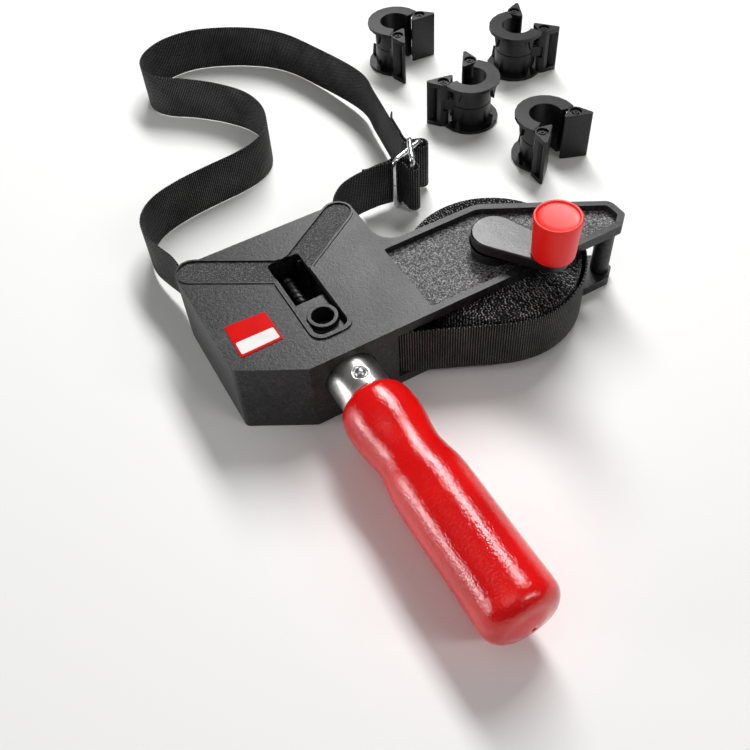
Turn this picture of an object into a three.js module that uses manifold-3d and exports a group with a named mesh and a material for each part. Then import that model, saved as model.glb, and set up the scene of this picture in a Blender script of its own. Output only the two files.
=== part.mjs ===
// Band clamp for frames: a screw in the grip draws a slider, whose cam grips the band and pulls it tight.
// The spare band is wound on a flat reel under a long arm, turned by a small crank.
// Four loose corner pieces with swinging jaws belong to it.
// Units are millimetres. +Z is up, +Y points to the workpiece, the grip lies along -Y.
// The origin is on the underside of the base, on the spindle's axis, a little behind the front edge.

import * as THREE from 'three';
import Module from 'manifold-3d';
import { mergeVertices } from 'three/addons/utils/BufferGeometryUtils.js';

const wasm = await Module();
wasm.setup();

// Clearances
const seatGap = 0.3; // between pieces that touch or fit in one another
const runGap = 0.4; // round pieces that turn or slide
const overrun = 2; // how far a cutting tool runs past what it cuts
const leastMitre_share = 0.5; // sharpest mitre of a bent strip

// Housing
const originBehindFront = 11; // front edge to the frame's origin
const plateThickness = 4.7; // base plate and top plate
const wallThickness = 2.6;
const housingLeft = 43.6; // spindle axis to the left wall
const housingRight = 41.2; // spindle axis to the right corner
const housingDepth = 79.8; // front edge to the wall at the grip
const chamferAlong = 26.2; // chamfer at the left rear corner, along X
const chamferBack = 15.1; // the same, along Y
const frontCornerRadius = 7.2;
const cornerBulge = 1.6; // how far the round front corners stand past the front edge
const rearCornerRadius = 3;
const rearWallEnd = 21.9; // spindle axis to where the wall at the grip stops
const rightWallEnd = 32; // front edge to where the right wall stops
const exitWidth = 4.6; // openings for the band in the front wall

// Arm
const armReach = 140.3; // spindle axis to the arm's tip
const armFarEdge = 34.2; // front edge to the arm's far edge
const armShoulderPast = 8.1; // reel's axis to where the far edge turns to the tip
const armTipWidth = 10; // its straight end
const armTipNearInset = 5.3; // the straight end stops this far before the near edge
const armTipCut = 5.8; // cut-off corner at the tip, along X
const armNeckRadius = 10;
const armShoulderRadius = 14;
const armTipRadius = 5;
const armRim = 3; // width of the raised rim
const armRecessDepth = 3.2;
const armRecessLeft = 39.8; // spindle axis to the recess's left edge
const armRecessFarLeft = 37.6; // front edge to the recess's far left corner
const lowerArmInset = 1; // the lower arm plate is this much smaller

// Slot with its rim, and the two textured strips
const slotHalfWidth = 7.5;
const slotFront = 19;
const slotRearInset = 12.2; // slot's rear end to the wall at the grip
const slotFrontRadius = 2;
const slotRearRadius = 4;
const slotRimWidth = 1.9;
const slotRimHeight = 0.8;
const slotRimFront = 30; // the rim runs from here to the rear end
const stripBead = 0.9; // width of the bead round a strip
const stripBeadHeight = 0.4;
const stripDepth = 0.4;
const stripMeet = 28.2; // front edge to where the strips' middle lines meet

// Spindle, ferrule and grip
const spindleRadius = 4;
const spindleHeight_share = 0.644; // its axis over the band's lower edge, of the band's width
const spindleTip = 15.8; // front edge to its front end
const spindleTang = 55; // its length in the grip
const frontRibHalfWidth = 5;
const frontRibThickness = 3;
const frontRibFace = 15.6; // front edge to the rib that holds the spindle's tip
const bearingHalfWidth = 12;
const bearingThickness = 3;
const bearingRibWidth = 1.7;
const collarRadius = 7;
const collarThickness = 3.5;
const ferruleRadius = 11.2;
const ferruleWall = 0.9;
const ferruleEndWall = 1.5;
const ferruleReach = 15.2; // wall at the grip to its open end
const ferrulePinRadius = 1.7;
const ferrulePinHead = 2.4; // radius of its round head
const ferrulePinInset = 6.5; // the pin's place before the open end
const ferrulePinProud = 0.5;
const ferruleDimpleRadius = 3.6;
const ferruleDimpleDepth = 0.8;
const gripOutline = [
  [10.9, 0.3],
  [12.6, 1.2],
  [14.2, 3.5],
  [15.05, 7],
  [15.4, 13],
  [14.9, 19],
  [13.95, 25],
  [13.5, 31],
  [14.2, 37],
  [15.2, 43],
  [15.5, 50],
  [15.5, 65],
  [15.4, 80],
  [15.5, 95],
]; // radius, and place behind the ferrule's open end
const gripEndRounding = 7;
const gripRoundingPlace = 100.5;
const gripLength = 109.5;
const hangHoleRadius = 0.9;
const hangHoleDepth = 6;

// Slider with its cam
const sliderRearInset = 11.8; // its rear face to the wall at the grip
const sliderLength = 23.6;
const sliderHalfWidth = 6.8; // of the pad that shows in the slot
const sliderPadRise = 0.9;
const sliderPadInset = 1.6; // from the slider's rear face
const sliderBridge = 2; // thickness of its top and bottom plates
const sliderBlockLeft = 8;
const sliderBlockRight = 5.4;
const sliderTravel = 20;
const jawThickness = 3.6;
const jawRearInset = 2.5; // slider's rear face to the end of the jaw and of the plates that carry it
const ringRadius = 6.6;
const ringBoreRadius = 4.6;
const ringRise = 3.4; // over the slider's top plate
const ringInset = 10.8; // slider's rear face to the ring's axis
const ringBoreFloor = 5.6; // the bore's floor over the spindle's axis
const camPinRadius = 1.5;
const camHubRadius = 2.9;
const camPinX = 8.9;
const camPinInset = 6.1; // slider's front face to the pin
const camNoseBack = 5.2; // the nose is this far behind the pin
const camTeeth = 3;
const camToothDepth = 0.8;
const camLift = 4; // room under the cam for its spring
const camSpringWire = 0.6;
const camSpringRadius = 2.4;
const camSpringTurns = 3;

// Band
const bandWidth = 25;
const bandThickness = 0.78;
const bandFloor = 1.2; // base plate to its lower edge inside the housing
const bandRoof = 1.3; // its upper edge to the top plate
const bandLowOutside = 0.3; // its lower edge where it stands free
const bandLowAtHook = 3.1; // its lower edge where the wires lift it
const bandLineX = 13.5; // its run beside the spindle
const guideRadius = 3.5;
const inletGuideX = 17.7;
const inletGuideInset = 10.25; // its axis to the wall at the grip
const frontGuidePlace = 16.4;
const exitGuideInset = 4.9; // left wall's outer face to the band at the exit
const exitGuidePlace = 8;
const anchorRadius = 3;
const anchorPlace = 10;
const anchorX = 33.4;

// Reel
const reelX_share = 0.4006; // its axis between the housing's right side and the arm's tip
const reelInset = 19.2; // its axis to the wall at the grip
const drumRadius = 8;
const drumNeckRadius = 6.2;
const drumFootRadius = 4.2;
const drumFootDepth = 2.6; // how deep the foot stands in the base
const mostCoilLoops = 24;
const coilSteps = 15; // per loop
const coilStartRadius = 8.85; // to the middle of the band
const coilPitch = 1.22;
const coilMargin = 1; // to the housing's right side
const feedGap = 0.95; // between the coil and the outer layer that is led away
const feedStart_deg = 0;

// Crank
const crankRise = 8.1; // over the housing
const crankThickness = 5.2;
const crankHubRadius = 10;
const crankPivotRadius = 10.2;
const crankEndRadius = 6.8;
const crankLength = 26.7;
const crankAngle_deg = -61.8;
const crankBoltRadius = 2;
const crankBoltHeadRadius = 3.6;
const crankBoltHeadThickness = 1.6;
const crankBoltCover = 2.5; // its upper end to the crank's upper face
const knobTopRadius = 9.9;
const knobFootRadius = 9.1;
const knobHeight = 19.7;
const knobDish = 0.8;
const knobEdge = 0.4;
const knobPinRadius = 2.6;
const knobPinSeat = 4.4; // how deep it stands in the crank
const knobPinRise = 13; // and how far it stands over it

// Screws and the post at the tip
const screwRadius = 1.5;
const screwHeadRadius = 3;
const screwHeadThickness = 2;
const screwHeadDepth = 0.4; // how deep the head lies in the base
const screwGrip = 13.3; // how far a screw stands over the base plate
const bossRadius = 3.6;
const postRadius = 4.2;
const postInset = 6.3; // its axis to the arm's tip
const postNearInset = 8.2; // its axis to the arm's near edge

// Wires at the hook
const wireRadius = 1.25;
const ringBend = 3.2;
const hookBend = 2.6;
const wireLow = 1.55; // middle of the lower arms
const ringWireRise = 1.8; // middle of the ring's upper arm over the band
const ringOuterBar = [77.9, 19.6]; // plan places of the upright bars
const ringEyeBar = [97.4, 26.8];
const ringButt = 0.5; // gap between the wire's two ends
const hookBar = [84.2, 13.1];
const hookTip = [91.4, 27.9]; // where the hook turns down beyond the ring's arm
const hookReach = 2.9; // between the middles of the hook's wire and the ring's arm
const hookReturn_share = 0.62; // where the curl ends under the arm, from the bar to the tip

// Sewn ends: the band comes back along its own side
const flapGap = 0.45;
const longFlap = 21;
const shortFlap = 14;
const loopFall_shares = [0, 0.12]; // of the loop's length, where it drops to the bench
const loopRise_shares = [0.68, 0.8]; // and where it rises again to the hook
const strapFall_shares = [0.36, 0.62]; // of the strap's length, where it drops
const strapTail = 2.2; // the short strap's inner end, past the anchor

// The free band seen from above, in the housing's frame with its front edge at y = 0
const loopPlan = [
  [-38.6, 8],
  [-39.2, 16],
  [-41.6, 26],
  [-43.7, 38],
  [-42.6, 49],
  [-38, 58.3],
  [-29.5, 65.2],
  [-15.7, 69.7],
  [0.8, 72.2],
  [16.1, 73.9],
  [28, 77],
  [37.5, 83.5],
  [43, 94],
  [45, 106.7],
  [42.1, 120.8],
  [32.7, 135.7],
  [20.5, 148.6],
  [8.6, 158.6],
  [3.4, 168.2],
  [4.4, 179.2],
  [11.2, 188.2],
  [23.7, 194.1],
  [40.5, 194],
  [58.5, 186.1],
  [74.5, 174.3],
  [84.4, 162],
  [91.2, 146.3],
  [98.8, 117.5],
  [102, 94.8],
  [99, 77.7],
  [95.5, 58],
  [93.5, 47.5],
  [92, 38.8],
];
const longEyePlan = [
  [93.3, 32.6],
  [94.5, 28.3],
  [94.9, 25.2],
  [97.3, 23.7],
  [100.2, 25.1],
  [100.7, 28.8],
  [98.8, 33.6],
  [96.4, 38.6],
];
const longFlapStart = 44; // the flap begins at this y
const strapPlan = [
  [37.9, 6],
  [41.4, 11.8],
  [48.4, 17.3],
  [57.8, 20.7],
  [66.4, 22.2],
  [72.4, 22.5],
  [77, 22],
];
const shortEyePlan = [
  [79.9, 21.2],
  [81.9, 18.9],
  [82.3, 15.8],
  [82, 12.6],
  [83.8, 10.2],
  [86.6, 10.7],
  [87.5, 14],
  [86.5, 18],
  [84, 21.8],
  [80, 24.2],
];
const loopSteps = 74;
const strapSteps = 20;
const eyeSteps = 15;

// Corner pieces
const cornerHeight = 26.2;
const cornerFlangeRadius = 15.8;
const cornerBarrelRadius = 11.6;
const cornerBoreRadius = 8.5;
const cornerFlange = 1.8;
const cornerHalfOpening_deg = 53;
const cornerPivotRadius = 15.4;
const cornerEnd_deg = 12; // the spool stops this far before a jaw's pivot
const lugRadius = 2.5;
const lugHeight = 6;
const lugRoots = [
  [10.8, 72],
  [11.3, 77],
]; // radius and angle of the places where a lug grows from the barrel
const jawPivotRadius = 3.9;
const jawPinRadius = 1.5;
const jawPinBore = 0.7;
const jawPinRecessRadius = 3.2;
const jawPinRecess = 1.2;
const jawInner = [9, 4.6]; // ends of its flat face
const jawOuter = [17, 17.2];
const jawWall = 2; // behind the flat face, and twice the rounding of its ends
const jawPlate = 2.5; // its upper and lower plates
const jawSwingIn_deg = 24;
const jawSwingOut_deg = 30;
const reliefMargin_deg = 12; // beside the lug at both ends of the jaw's swing
const reliefReach = 8;
const seamDepth = 0.4; // groove round the barrel at half height
const seamHeight = 0.5;
const finLength = 7;
const finWidth = 3.4;
const finThickness = 2.4;
const finAngles_deg = [100, 180, 260];
const cornerPlaces = [
  ['corner_a', 145, 134.3, -61],
  ['corner_b', 151, 63.7, 112],
  ['corner_c', 200.2, 91.1, 8],
  ['corner_d', 164.5, 14.9, -79],
]; // name, x, y, and the angle in degrees of the side that is open

// Derived places that several pieces share
const bandLow = plateThickness + bandFloor; // its lower edge inside the housing
const bandTop = bandLow + bandWidth;
const cavityTop = bandTop + bandRoof;
const housingHeight = cavityTop + plateThickness;
const spindleHeight = bandLow + spindleHeight_share * bandWidth;
const slotRear = housingDepth - slotRearInset;
const sliderRear = housingDepth - sliderRearInset;
const sliderFront = sliderRear - sliderLength;
const jawRear = sliderRear - jawRearInset;
const ringPlace = sliderRear - ringInset;
const camPinPlace = sliderFront + camPinInset;
const inletGuidePlace = housingDepth - inletGuideInset;
const ferruleEnd = housingDepth + ferruleReach;
const ferrulePinPlace = ferruleEnd - ferrulePinInset;
const spindleEnd = ferruleEnd + spindleTang;
const gripEnd = ferruleEnd + gripLength;
const reelX = housingRight + reelX_share * (armReach - housingRight);
const reelPlace = housingDepth - reelInset;
const armShoulder = reelX + armShoulderPast;
const armTipNear = housingDepth - armTipNearInset;
const armTipFar = armTipNear - armTipWidth;
const postX = armReach - postInset;
const postPlace = housingDepth - postNearInset;
const screwTop = plateThickness + screwGrip;
const ringWireHigh = bandLowAtHook + bandWidth + ringWireRise;
const hookWireHigh = ringWireHigh + hookReach;
const hookReturnLow = ringWireHigh - hookReach;
const sliderLow = bandLow - seatGap - sliderBridge;
const sliderPlateLow = bandTop + seatGap;
const sliderPlateTop = sliderPlateLow + sliderBridge;
const sliderRight = bandLineX + bandThickness / 2 + seatGap + jawThickness;
const guidedRadius = guideRadius + seatGap + bandThickness / 2;
const bandExitX = -housingLeft + exitGuideInset;
const strapExitX = anchorX + anchorRadius + seatGap + bandThickness / 2;
const coilRoom = reelX - housingRight - coilStartRadius - coilMargin;
const coilLoops = Math.min(Math.floor(coilRoom / coilPitch), mostCoilLoops);
const coilOuterRadius = coilStartRadius + coilLoops * coilPitch + bandThickness / 2;
const feedRadius = coilOuterRadius + feedGap + bandThickness / 2;
const crankTop = housingHeight + crankRise;
const crankFoot = crankTop - crankThickness;
const crankBoltTop = crankTop - crankBoltCover;
const knobPinFoot = crankTop - knobPinSeat;
const knobPinTop = crankTop + knobPinRise;

// Materials
const material = (colour, roughness, metalness) =>
  new THREE.MeshStandardMaterial({ color: colour, roughness, metalness });
const finishes = {
  housing: () => material('#3a3a3d', 0.6, 0),
  dark: () => material('#242426', 0.55, 0),
  webbing: () => material('#1f1e1d', 0.9, 0),
  lacquer: () => material('#d01612', 0.15, 0),
  redPlastic: () => material('#e02418', 0.4, 0),
  steel: () => material('#b9bbbd', 0.3, 0.9),
  wire: () => material('#d5d8da', 0.22, 1),
};

// Helpers: solids

const solidOf = (geometry) => {
  const bare = geometry.clone();
  bare.deleteAttribute('normal');
  bare.deleteAttribute('uv');
  const merged = mergeVertices(bare);
  const mesh = new wasm.Mesh({
    numProp: 3,
    vertProperties: merged.attributes.position.array,
    triVerts: Uint32Array.from(merged.index.array),
  });
  return new wasm.Manifold(mesh);
};

const geometryOf = (manifold) => {
  const mesh = manifold.getMesh();
  const geometry = new THREE.BufferGeometry();
  geometry.setAttribute('position', new THREE.BufferAttribute(mesh.vertProperties, 3));
  geometry.setIndex(new THREE.BufferAttribute(mesh.triVerts, 1));
  geometry.computeVertexNormals();
  return geometry;
};

const fused = (...pieces) => pieces.reduce((whole, piece) => whole.add(piece));
const cut = (whole, ...tools) => tools.reduce((left, tool) => left.subtract(tool), whole);

// A closed outline from corners [x, y, radius], each rounded with its radius.
const roundedOutline = (corners) => {
  const shape = new THREE.Shape();
  corners.forEach(([x, y, radius = 0], index) => {
    const corner = new THREE.Vector2(x, y);
    const before = new THREE.Vector2(...corners.at(index - 1).slice(0, 2)).sub(corner).normalize();
    const after = new THREE.Vector2(...corners[(index + 1) % corners.length].slice(0, 2))
      .sub(corner)
      .normalize();
    const half = Math.acos(THREE.MathUtils.clamp(before.dot(after), -1, 1)) / 2;
    const start = corner.clone().addScaledVector(before, radius / Math.tan(half));
    if (index === 0) shape.moveTo(start.x, start.y);
    else shape.lineTo(start.x, start.y);
    if (radius === 0) return;
    const end = corner.clone().addScaledVector(after, radius / Math.tan(half));
    const inward = before.clone().add(after).normalize();
    const centre = corner.clone().addScaledVector(inward, radius / Math.sin(half));
    const from = Math.atan2(start.y - centre.y, start.x - centre.x);
    const to = Math.atan2(end.y - centre.y, end.x - centre.x);
    shape.absarc(centre.x, centre.y, radius, from, to, before.cross(after) > 0);
  });
  shape.closePath();
  return shape;
};

// The same corners moved inward by a distance. The corners run clockwise.
const insetCorners = (corners, distance) =>
  corners.map(([x, y, radius = 0], index) => {
    const corner = new THREE.Vector2(x, y);
    const before = corner.clone().sub(new THREE.Vector2(...corners.at(index - 1).slice(0, 2)));
    const next = new THREE.Vector2(...corners[(index + 1) % corners.length].slice(0, 2));
    const after = next.sub(corner);
    const first = new THREE.Vector2(before.y, -before.x).normalize();
    const second = new THREE.Vector2(after.y, -after.x).normalize();
    const shift = first.clone().add(second).divideScalar(1 + first.dot(second));
    const turn = before.cross(after) < 0 ? -distance : distance;
    return [x + shift.x * distance, y + shift.y * distance, Math.max(radius + turn, 0)];
  });

const prismGeometry = (shape, low, high, curveSegments = 4) =>
  new THREE.ExtrudeGeometry(shape, { depth: high - low, bevelEnabled: false, curveSegments }).translate(
    0,
    0,
    low,
  );
const prism = (shape, low, high, curveSegments) => solidOf(prismGeometry(shape, low, high, curveSegments));

const boxBetween = ([x0, y0, z0], [x1, y1, z1]) =>
  solidOf(
    new THREE.BoxGeometry(x1 - x0, y1 - y0, z1 - z0).translate((x0 + x1) / 2, (y0 + y1) / 2, (z0 + z1) / 2),
  );

const discGeometry = (x, y, radius, low, high, sides = 24, topRadius = radius) =>
  new THREE.CylinderGeometry(topRadius, radius, high - low, sides)
    .rotateX(Math.PI / 2)
    .translate(x, y, (low + high) / 2);
const disc = (...sizes) => solidOf(discGeometry(...sizes));

// A cylinder along the spindle's axis. front and rear are distances from the front edge.
const spindleDisc = (radius, front, rear, sides = 24) =>
  solidOf(
    new THREE.CylinderGeometry(radius, radius, rear - front, sides).translate(
      0,
      -(front + rear) / 2,
      spindleHeight,
    ),
  );

// A profile of [radius, back] turned round the spindle's axis. back is the distance from the front edge.
const spindleTurned = (profile, sides) => {
  const points = profile.map(([radius, back]) => new THREE.Vector2(radius, -back)).toReversed();
  const geometry = new THREE.LatheGeometry(points, sides).translate(0, 0, spindleHeight);
  return solidOf(geometry);
};

// A stadium from one point to another, as a shape
const stadium = (from, to, radius) => {
  const along = to.clone().sub(from);
  const angle = Math.atan2(along.y, along.x);
  const shape = new THREE.Shape();
  shape.absarc(from.x, from.y, radius, angle + Math.PI / 2, angle + 1.5 * Math.PI, false);
  shape.absarc(to.x, to.y, radius, angle - Math.PI / 2, angle + Math.PI / 2, false);
  shape.closePath();
  return shape;
};

// Helpers: band and wire

const arcPoints = (x, y, radius, from, to, steps) =>
  Array.from({ length: steps + 1 }, (_, index) => {
    const angle = from + ((to - from) * index) / steps;
    return new THREE.Vector2(x + radius * Math.cos(angle), y + radius * Math.sin(angle));
  });

// A flat strip that stands on edge along a line of points. lowAt gives its lower edge at each point.
const standingStrip = (points, lowAt, thickness = bandThickness, width = bandWidth) => {
  const positions = [];
  const triangles = [];
  points.forEach((point, index) => {
    const before = points[Math.max(index - 1, 0)];
    const after = points[Math.min(index + 1, points.length - 1)];
    const into = point.clone().sub(before).normalize();
    const out = after.clone().sub(point).normalize();
    const along = into.clone().add(out).normalize();
    const spread = thickness / 2 / Math.max(along.dot(index === 0 ? out : into), leastMitre_share);
    const side = new THREE.Vector2(-along.y, along.x).multiplyScalar(spread);
    const low = lowAt(index / (points.length - 1), point);
    for (const [sign, height] of [
      [1, low],
      [-1, low],
      [-1, low + width],
      [1, low + width],
    ]) {
      positions.push(point.x + sign * side.x, point.y + sign * side.y, height);
    }
    if (index === 0) return;
    const old = 4 * (index - 1);
    const now = 4 * index;
    for (let edge = 0; edge < 4; edge += 1) {
      const next = (edge + 1) % 4;
      triangles.push(old + edge, now + next, old + next, old + edge, now + edge, now + next);
    }
  });
  const last = 4 * (points.length - 1);
  triangles.push(0, 1, 2, 0, 2, 3, last, last + 2, last + 1, last, last + 3, last + 2);
  const geometry = new THREE.BufferGeometry();
  geometry.setAttribute('position', new THREE.Float32BufferAttribute(positions, 3));
  geometry.setIndex(triangles);
  geometry.computeVertexNormals();
  return geometry;
};

const spacedLine = (points, steps) =>
  new THREE.SplineCurve(points.map(([x, y]) => new THREE.Vector2(x, y))).getSpacedPoints(steps);

// The line of a band laid round posts. side is 1 where a post stands on the band's right, -1 on its left.
const routeRound = (posts, startAngle, sweepStep = Math.PI / 9) => {
  const line = [];
  let angle = startAngle;
  posts.forEach((post, index) => {
    const next = posts[index + 1];
    if (next === undefined) {
      line.push(new THREE.Vector2(post.x, post.y));
      return;
    }
    const across = new THREE.Vector2(next.x - post.x, next.y - post.y);
    const reach = next.side * next.radius - post.side * post.radius;
    const normal = Math.atan2(across.y, across.x) - Math.acos(reach / across.length());
    const leaving = normal + (post.side > 0 ? Math.PI : 0);
    let sweep = (leaving - angle) % (2 * Math.PI);
    if (post.side > 0 && sweep > 0) sweep -= 2 * Math.PI;
    if (post.side < 0 && sweep < 0) sweep += 2 * Math.PI;
    const steps = Math.max(Math.ceil(Math.abs(sweep) / sweepStep), 1);
    line.push(...arcPoints(post.x, post.y, post.radius, angle, angle + sweep, steps));
    angle = normal + (next.side > 0 ? Math.PI : 0);
  });
  return line;
};

// The end of a band comes back beside the line it came along, on one side.
const flapBeside = (line, from, length, sideSign) => {
  const flap = [];
  let covered = 0;
  for (let index = from; index > 0 && covered < length; index -= 1) {
    const step = line[index - 1].clone().sub(line[index]);
    const aside = new THREE.Vector2(-step.y, step.x).normalize();
    flap.push(line[index].clone().addScaledVector(aside, sideSign * (bandThickness + flapGap)));
    covered += step.length();
  }
  return flap;
};

const wireGeometry = (points, radius, steps, sides = 3) => {
  const shape = new THREE.Shape();
  shape.absarc(0, 0, radius, 0, 2 * Math.PI);
  const path = points instanceof THREE.Curve ? points : new THREE.CatmullRomCurve3(points);
  return new THREE.ExtrudeGeometry(shape, {
    steps,
    extrudePath: path,
    curveSegments: sides,
    bevelEnabled: false,
  });
};

// The scene graph

const clamp = new THREE.Group();
clamp.position.y = originBehindFront;

const place = (name, solid, finish, parent = clamp) => {
  const geometry = solid instanceof THREE.BufferGeometry ? solid : geometryOf(solid);
  const mesh = new THREE.Mesh(geometry, finish());
  mesh.name = name;
  parent.add(mesh);
  return mesh;
};

// Housing: outlines

const housingCorners = [
  [-housingLeft, 0, frontCornerRadius],
  [housingRight, 0, frontCornerRadius],
  [housingRight, -housingDepth, rearCornerRadius],
  [-housingLeft + chamferAlong, -housingDepth, rearCornerRadius],
  [-housingLeft, -housingDepth + chamferBack, rearCornerRadius],
];

const topPlateCorners = [
  [-housingLeft, 0, frontCornerRadius],
  [housingRight, 0, frontCornerRadius],
  [housingRight, -armFarEdge, armNeckRadius],
  [armShoulder, -armFarEdge, armShoulderRadius],
  [armReach, -armTipFar, armTipRadius],
  [armReach, -armTipNear, armTipRadius / 2],
  [armReach - armTipCut, -housingDepth, armTipRadius / 2],
  [-housingLeft + chamferAlong, -housingDepth, rearCornerRadius],
  [-housingLeft, -housingDepth + chamferBack, rearCornerRadius],
];

const armRecessCorners = [
  [armRecessLeft, -armRecessFarLeft, armRim / 3],
  [armShoulder - armRim / 2, -armFarEdge - armRim, armShoulderRadius - armRim],
  [armReach - armRim, -armTipFar - armRim / 2, armTipRadius - armRim / 2],
  [armReach - armRim, -armTipNear + armRim / 2, armTipRadius / 4],
  [armReach - armTipCut - armRim / 2, -housingDepth + armRim, armTipRadius / 4],
  [armRecessLeft, -housingDepth + armRim, armRim / 3],
];

const lowerArmCorners = [
  [rearWallEnd + seatGap, -armFarEdge - lowerArmInset, 0],
  [armShoulder, -armFarEdge - lowerArmInset, armShoulderRadius],
  [armReach - lowerArmInset, -armTipFar - lowerArmInset / 2, armTipRadius],
  [armReach - lowerArmInset, -armTipNear + lowerArmInset / 2, armTipRadius / 2],
  [armReach - armTipCut - lowerArmInset / 2, -housingDepth + lowerArmInset, armTipRadius / 2],
  [rearWallEnd + seatGap, -housingDepth + lowerArmInset, 0],
];

const cornerCentres = [
  new THREE.Vector2(-housingLeft + frontCornerRadius, cornerBulge - frontCornerRadius),
  new THREE.Vector2(housingRight - frontCornerRadius, cornerBulge - frontCornerRadius),
];
const stripsMeet = new THREE.Vector2(0, -stripMeet);

// Places of the bosses that take the screws, as shares of the housing's width and depth
const boss_shares = [
  [-0.82, 0.3],
  [-0.82, 0.72],
  [-0.36, 0.85],
  [0.8, 0.33],
  [0.68, 0.64],
];
const bossPlaces = boss_shares.map(([across, back]) => [across * housingLeft, -back * housingDepth]);
const bossNames = ['front_left', 'side_left', 'rear_left', 'front_right', 'side_right'];

const slotOutline = (grow, front) =>
  roundedOutline([
    [-slotHalfWidth - grow, front, slotFrontRadius],
    [slotHalfWidth + grow, front, slotFrontRadius],
    [slotHalfWidth + grow, -slotRear - grow, slotRearRadius + grow],
    [-slotHalfWidth - grow, -slotRear - grow, slotRearRadius + grow],
  ]);

// Housing: upper shell

const upperShell = () => {
  const bulges = cornerCentres.map((c) => disc(c.x, c.y, frontCornerRadius, 0, housingHeight, 20));
  const walls = cut(
    fused(prism(roundedOutline(housingCorners), 0, cavityTop + seatGap), ...bulges),
    prism(roundedOutline(insetCorners(housingCorners, wallThickness)), -overrun, cavityTop),
    boxBetween(
      [rearWallEnd, -housingDepth - overrun, -overrun],
      [housingRight + overrun, -rightWallEnd, cavityTop],
    ),
  );
  const exits = [bandExitX, strapExitX].map((x) =>
    boxBetween(
      [x - exitWidth / 2, -wallThickness - frontCornerRadius, -overrun],
      [x + exitWidth / 2, cornerBulge + overrun, cavityTop],
    ),
  );
  const stripTop = housingHeight + stripBeadHeight;
  const strips = cornerCentres.map((end) =>
    cut(
      prism(stadium(stripsMeet, end, frontCornerRadius), housingHeight - stripDepth, stripTop),
      prism(stadium(stripsMeet, end, frontCornerRadius - stripBead), 0, stripTop + overrun),
    ),
  );
  const stripFloors = cornerCentres.map((end) =>
    prism(
      stadium(stripsMeet, end, frontCornerRadius - stripBead),
      housingHeight - stripDepth,
      stripTop + overrun,
    ),
  );
  const rim = prism(slotOutline(slotRimWidth, -slotRimFront), cavityTop, housingHeight + slotRimHeight);
  const bosses = bossPlaces.map(([x, y]) =>
    disc(x, y, bossRadius, plateThickness + seatGap, cavityTop + seatGap, 10),
  );
  const pilots = bossPlaces.map(([x, y]) => disc(x, y, screwRadius + seatGap, 0, screwTop + seatGap, 6));
  const bearingRibs = [-1, 1].map((side) => {
    const inner = side * (bearingHalfWidth + seatGap);
    const outer = inner + side * bearingRibWidth;
    return boxBetween(
      [Math.min(inner, outer), -housingDepth + wallThickness - seatGap, plateThickness + seatGap],
      [Math.max(inner, outer), -housingDepth + wallThickness + bearingThickness, cavityTop + seatGap],
    );
  });
  const groove = boxBetween(
    [-sliderBlockLeft - runGap, -sliderRear - runGap, 0],
    [sliderRight + runGap, -slotFront, sliderPlateTop + runGap],
  );
  const solid = fused(
    cut(
      fused(prism(roundedOutline(topPlateCorners), cavityTop, housingHeight), walls),
      ...exits,
      ...stripFloors,
    ),
    ...strips,
    rim,
    ...bosses,
    ...bearingRibs,
  );
  return cut(
    solid,
    prism(slotOutline(0, -slotFront), 0, housingHeight + overrun),
    groove,
    prism(roundedOutline(armRecessCorners), housingHeight - armRecessDepth, housingHeight + overrun),
    disc(reelX, -reelPlace, drumNeckRadius + runGap, 0, housingHeight, 24),
    spindleDisc(
      ferruleRadius + runGap,
      housingDepth - wallThickness - seatGap,
      housingDepth + overrun,
      24,
    ),
    ...pilots,
  );
};

// Housing: base plate with the lower arm plate

const basePlate = () => {
  const inset = wallThickness + seatGap;
  const plate = fused(
    prism(roundedOutline(insetCorners(housingCorners, inset)), 0, plateThickness),
    prism(roundedOutline(lowerArmCorners), 0, plateThickness),
  );
  const rib = cut(
    boxBetween(
      [-frontRibHalfWidth, -frontRibFace - frontRibThickness, 0],
      [frontRibHalfWidth, -frontRibFace, cavityTop - seatGap],
    ),
    spindleDisc(spindleRadius + runGap, 0, slotRear),
  );
  const screwHoles = [...bossPlaces, [postX, -postPlace]].flatMap(([x, y]) => [
    disc(x, y, screwRadius + seatGap, -overrun, plateThickness + overrun, 6),
    disc(x, y, screwHeadRadius + seatGap, -overrun, screwHeadDepth + screwHeadThickness + seatGap, 12),
  ]);
  const groove = boxBetween(
    [-sliderBlockLeft - runGap, -sliderRear - runGap, sliderLow - seatGap],
    [sliderRight + runGap, -slotFront, plateThickness + overrun],
  );
  return fused(
    cut(
      plate,
      groove,
      ...screwHoles,
      disc(
        reelX,
        -reelPlace,
        drumFootRadius + runGap,
        plateThickness - drumFootDepth - seatGap,
        plateThickness + overrun,
        16,
      ),
      disc(reelX, -reelPlace, crankBoltHeadRadius + runGap, -overrun, plateThickness, 20),
    ),
    rib,
  );
};

place('upper_shell', upperShell(), finishes.housing);
place('base_plate', basePlate(), finishes.housing);

// Screws, and the post at the arm's tip

const screw = (x, y, top) =>
  fused(
    disc(x, y, screwHeadRadius, screwHeadDepth, screwHeadDepth + screwHeadThickness, 10),
    disc(x, y, screwRadius, screwHeadDepth + screwHeadThickness / 2, top, 6),
  );
bossPlaces.forEach(([x, y], index) => {
  place(`shell_screw_${bossNames[index]}`, screw(x, y, screwTop), finishes.steel);
});
place(
  'tip_post',
  cut(
    disc(postX, -postPlace, postRadius, plateThickness + seatGap, cavityTop - seatGap, 16),
    disc(postX, -postPlace, screwRadius + seatGap, 0, screwTop + seatGap, 6),
  ),
  finishes.housing,
);
place('tip_screw', screw(postX, -postPlace, screwTop), finishes.steel);

// Guides in the housing

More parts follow.
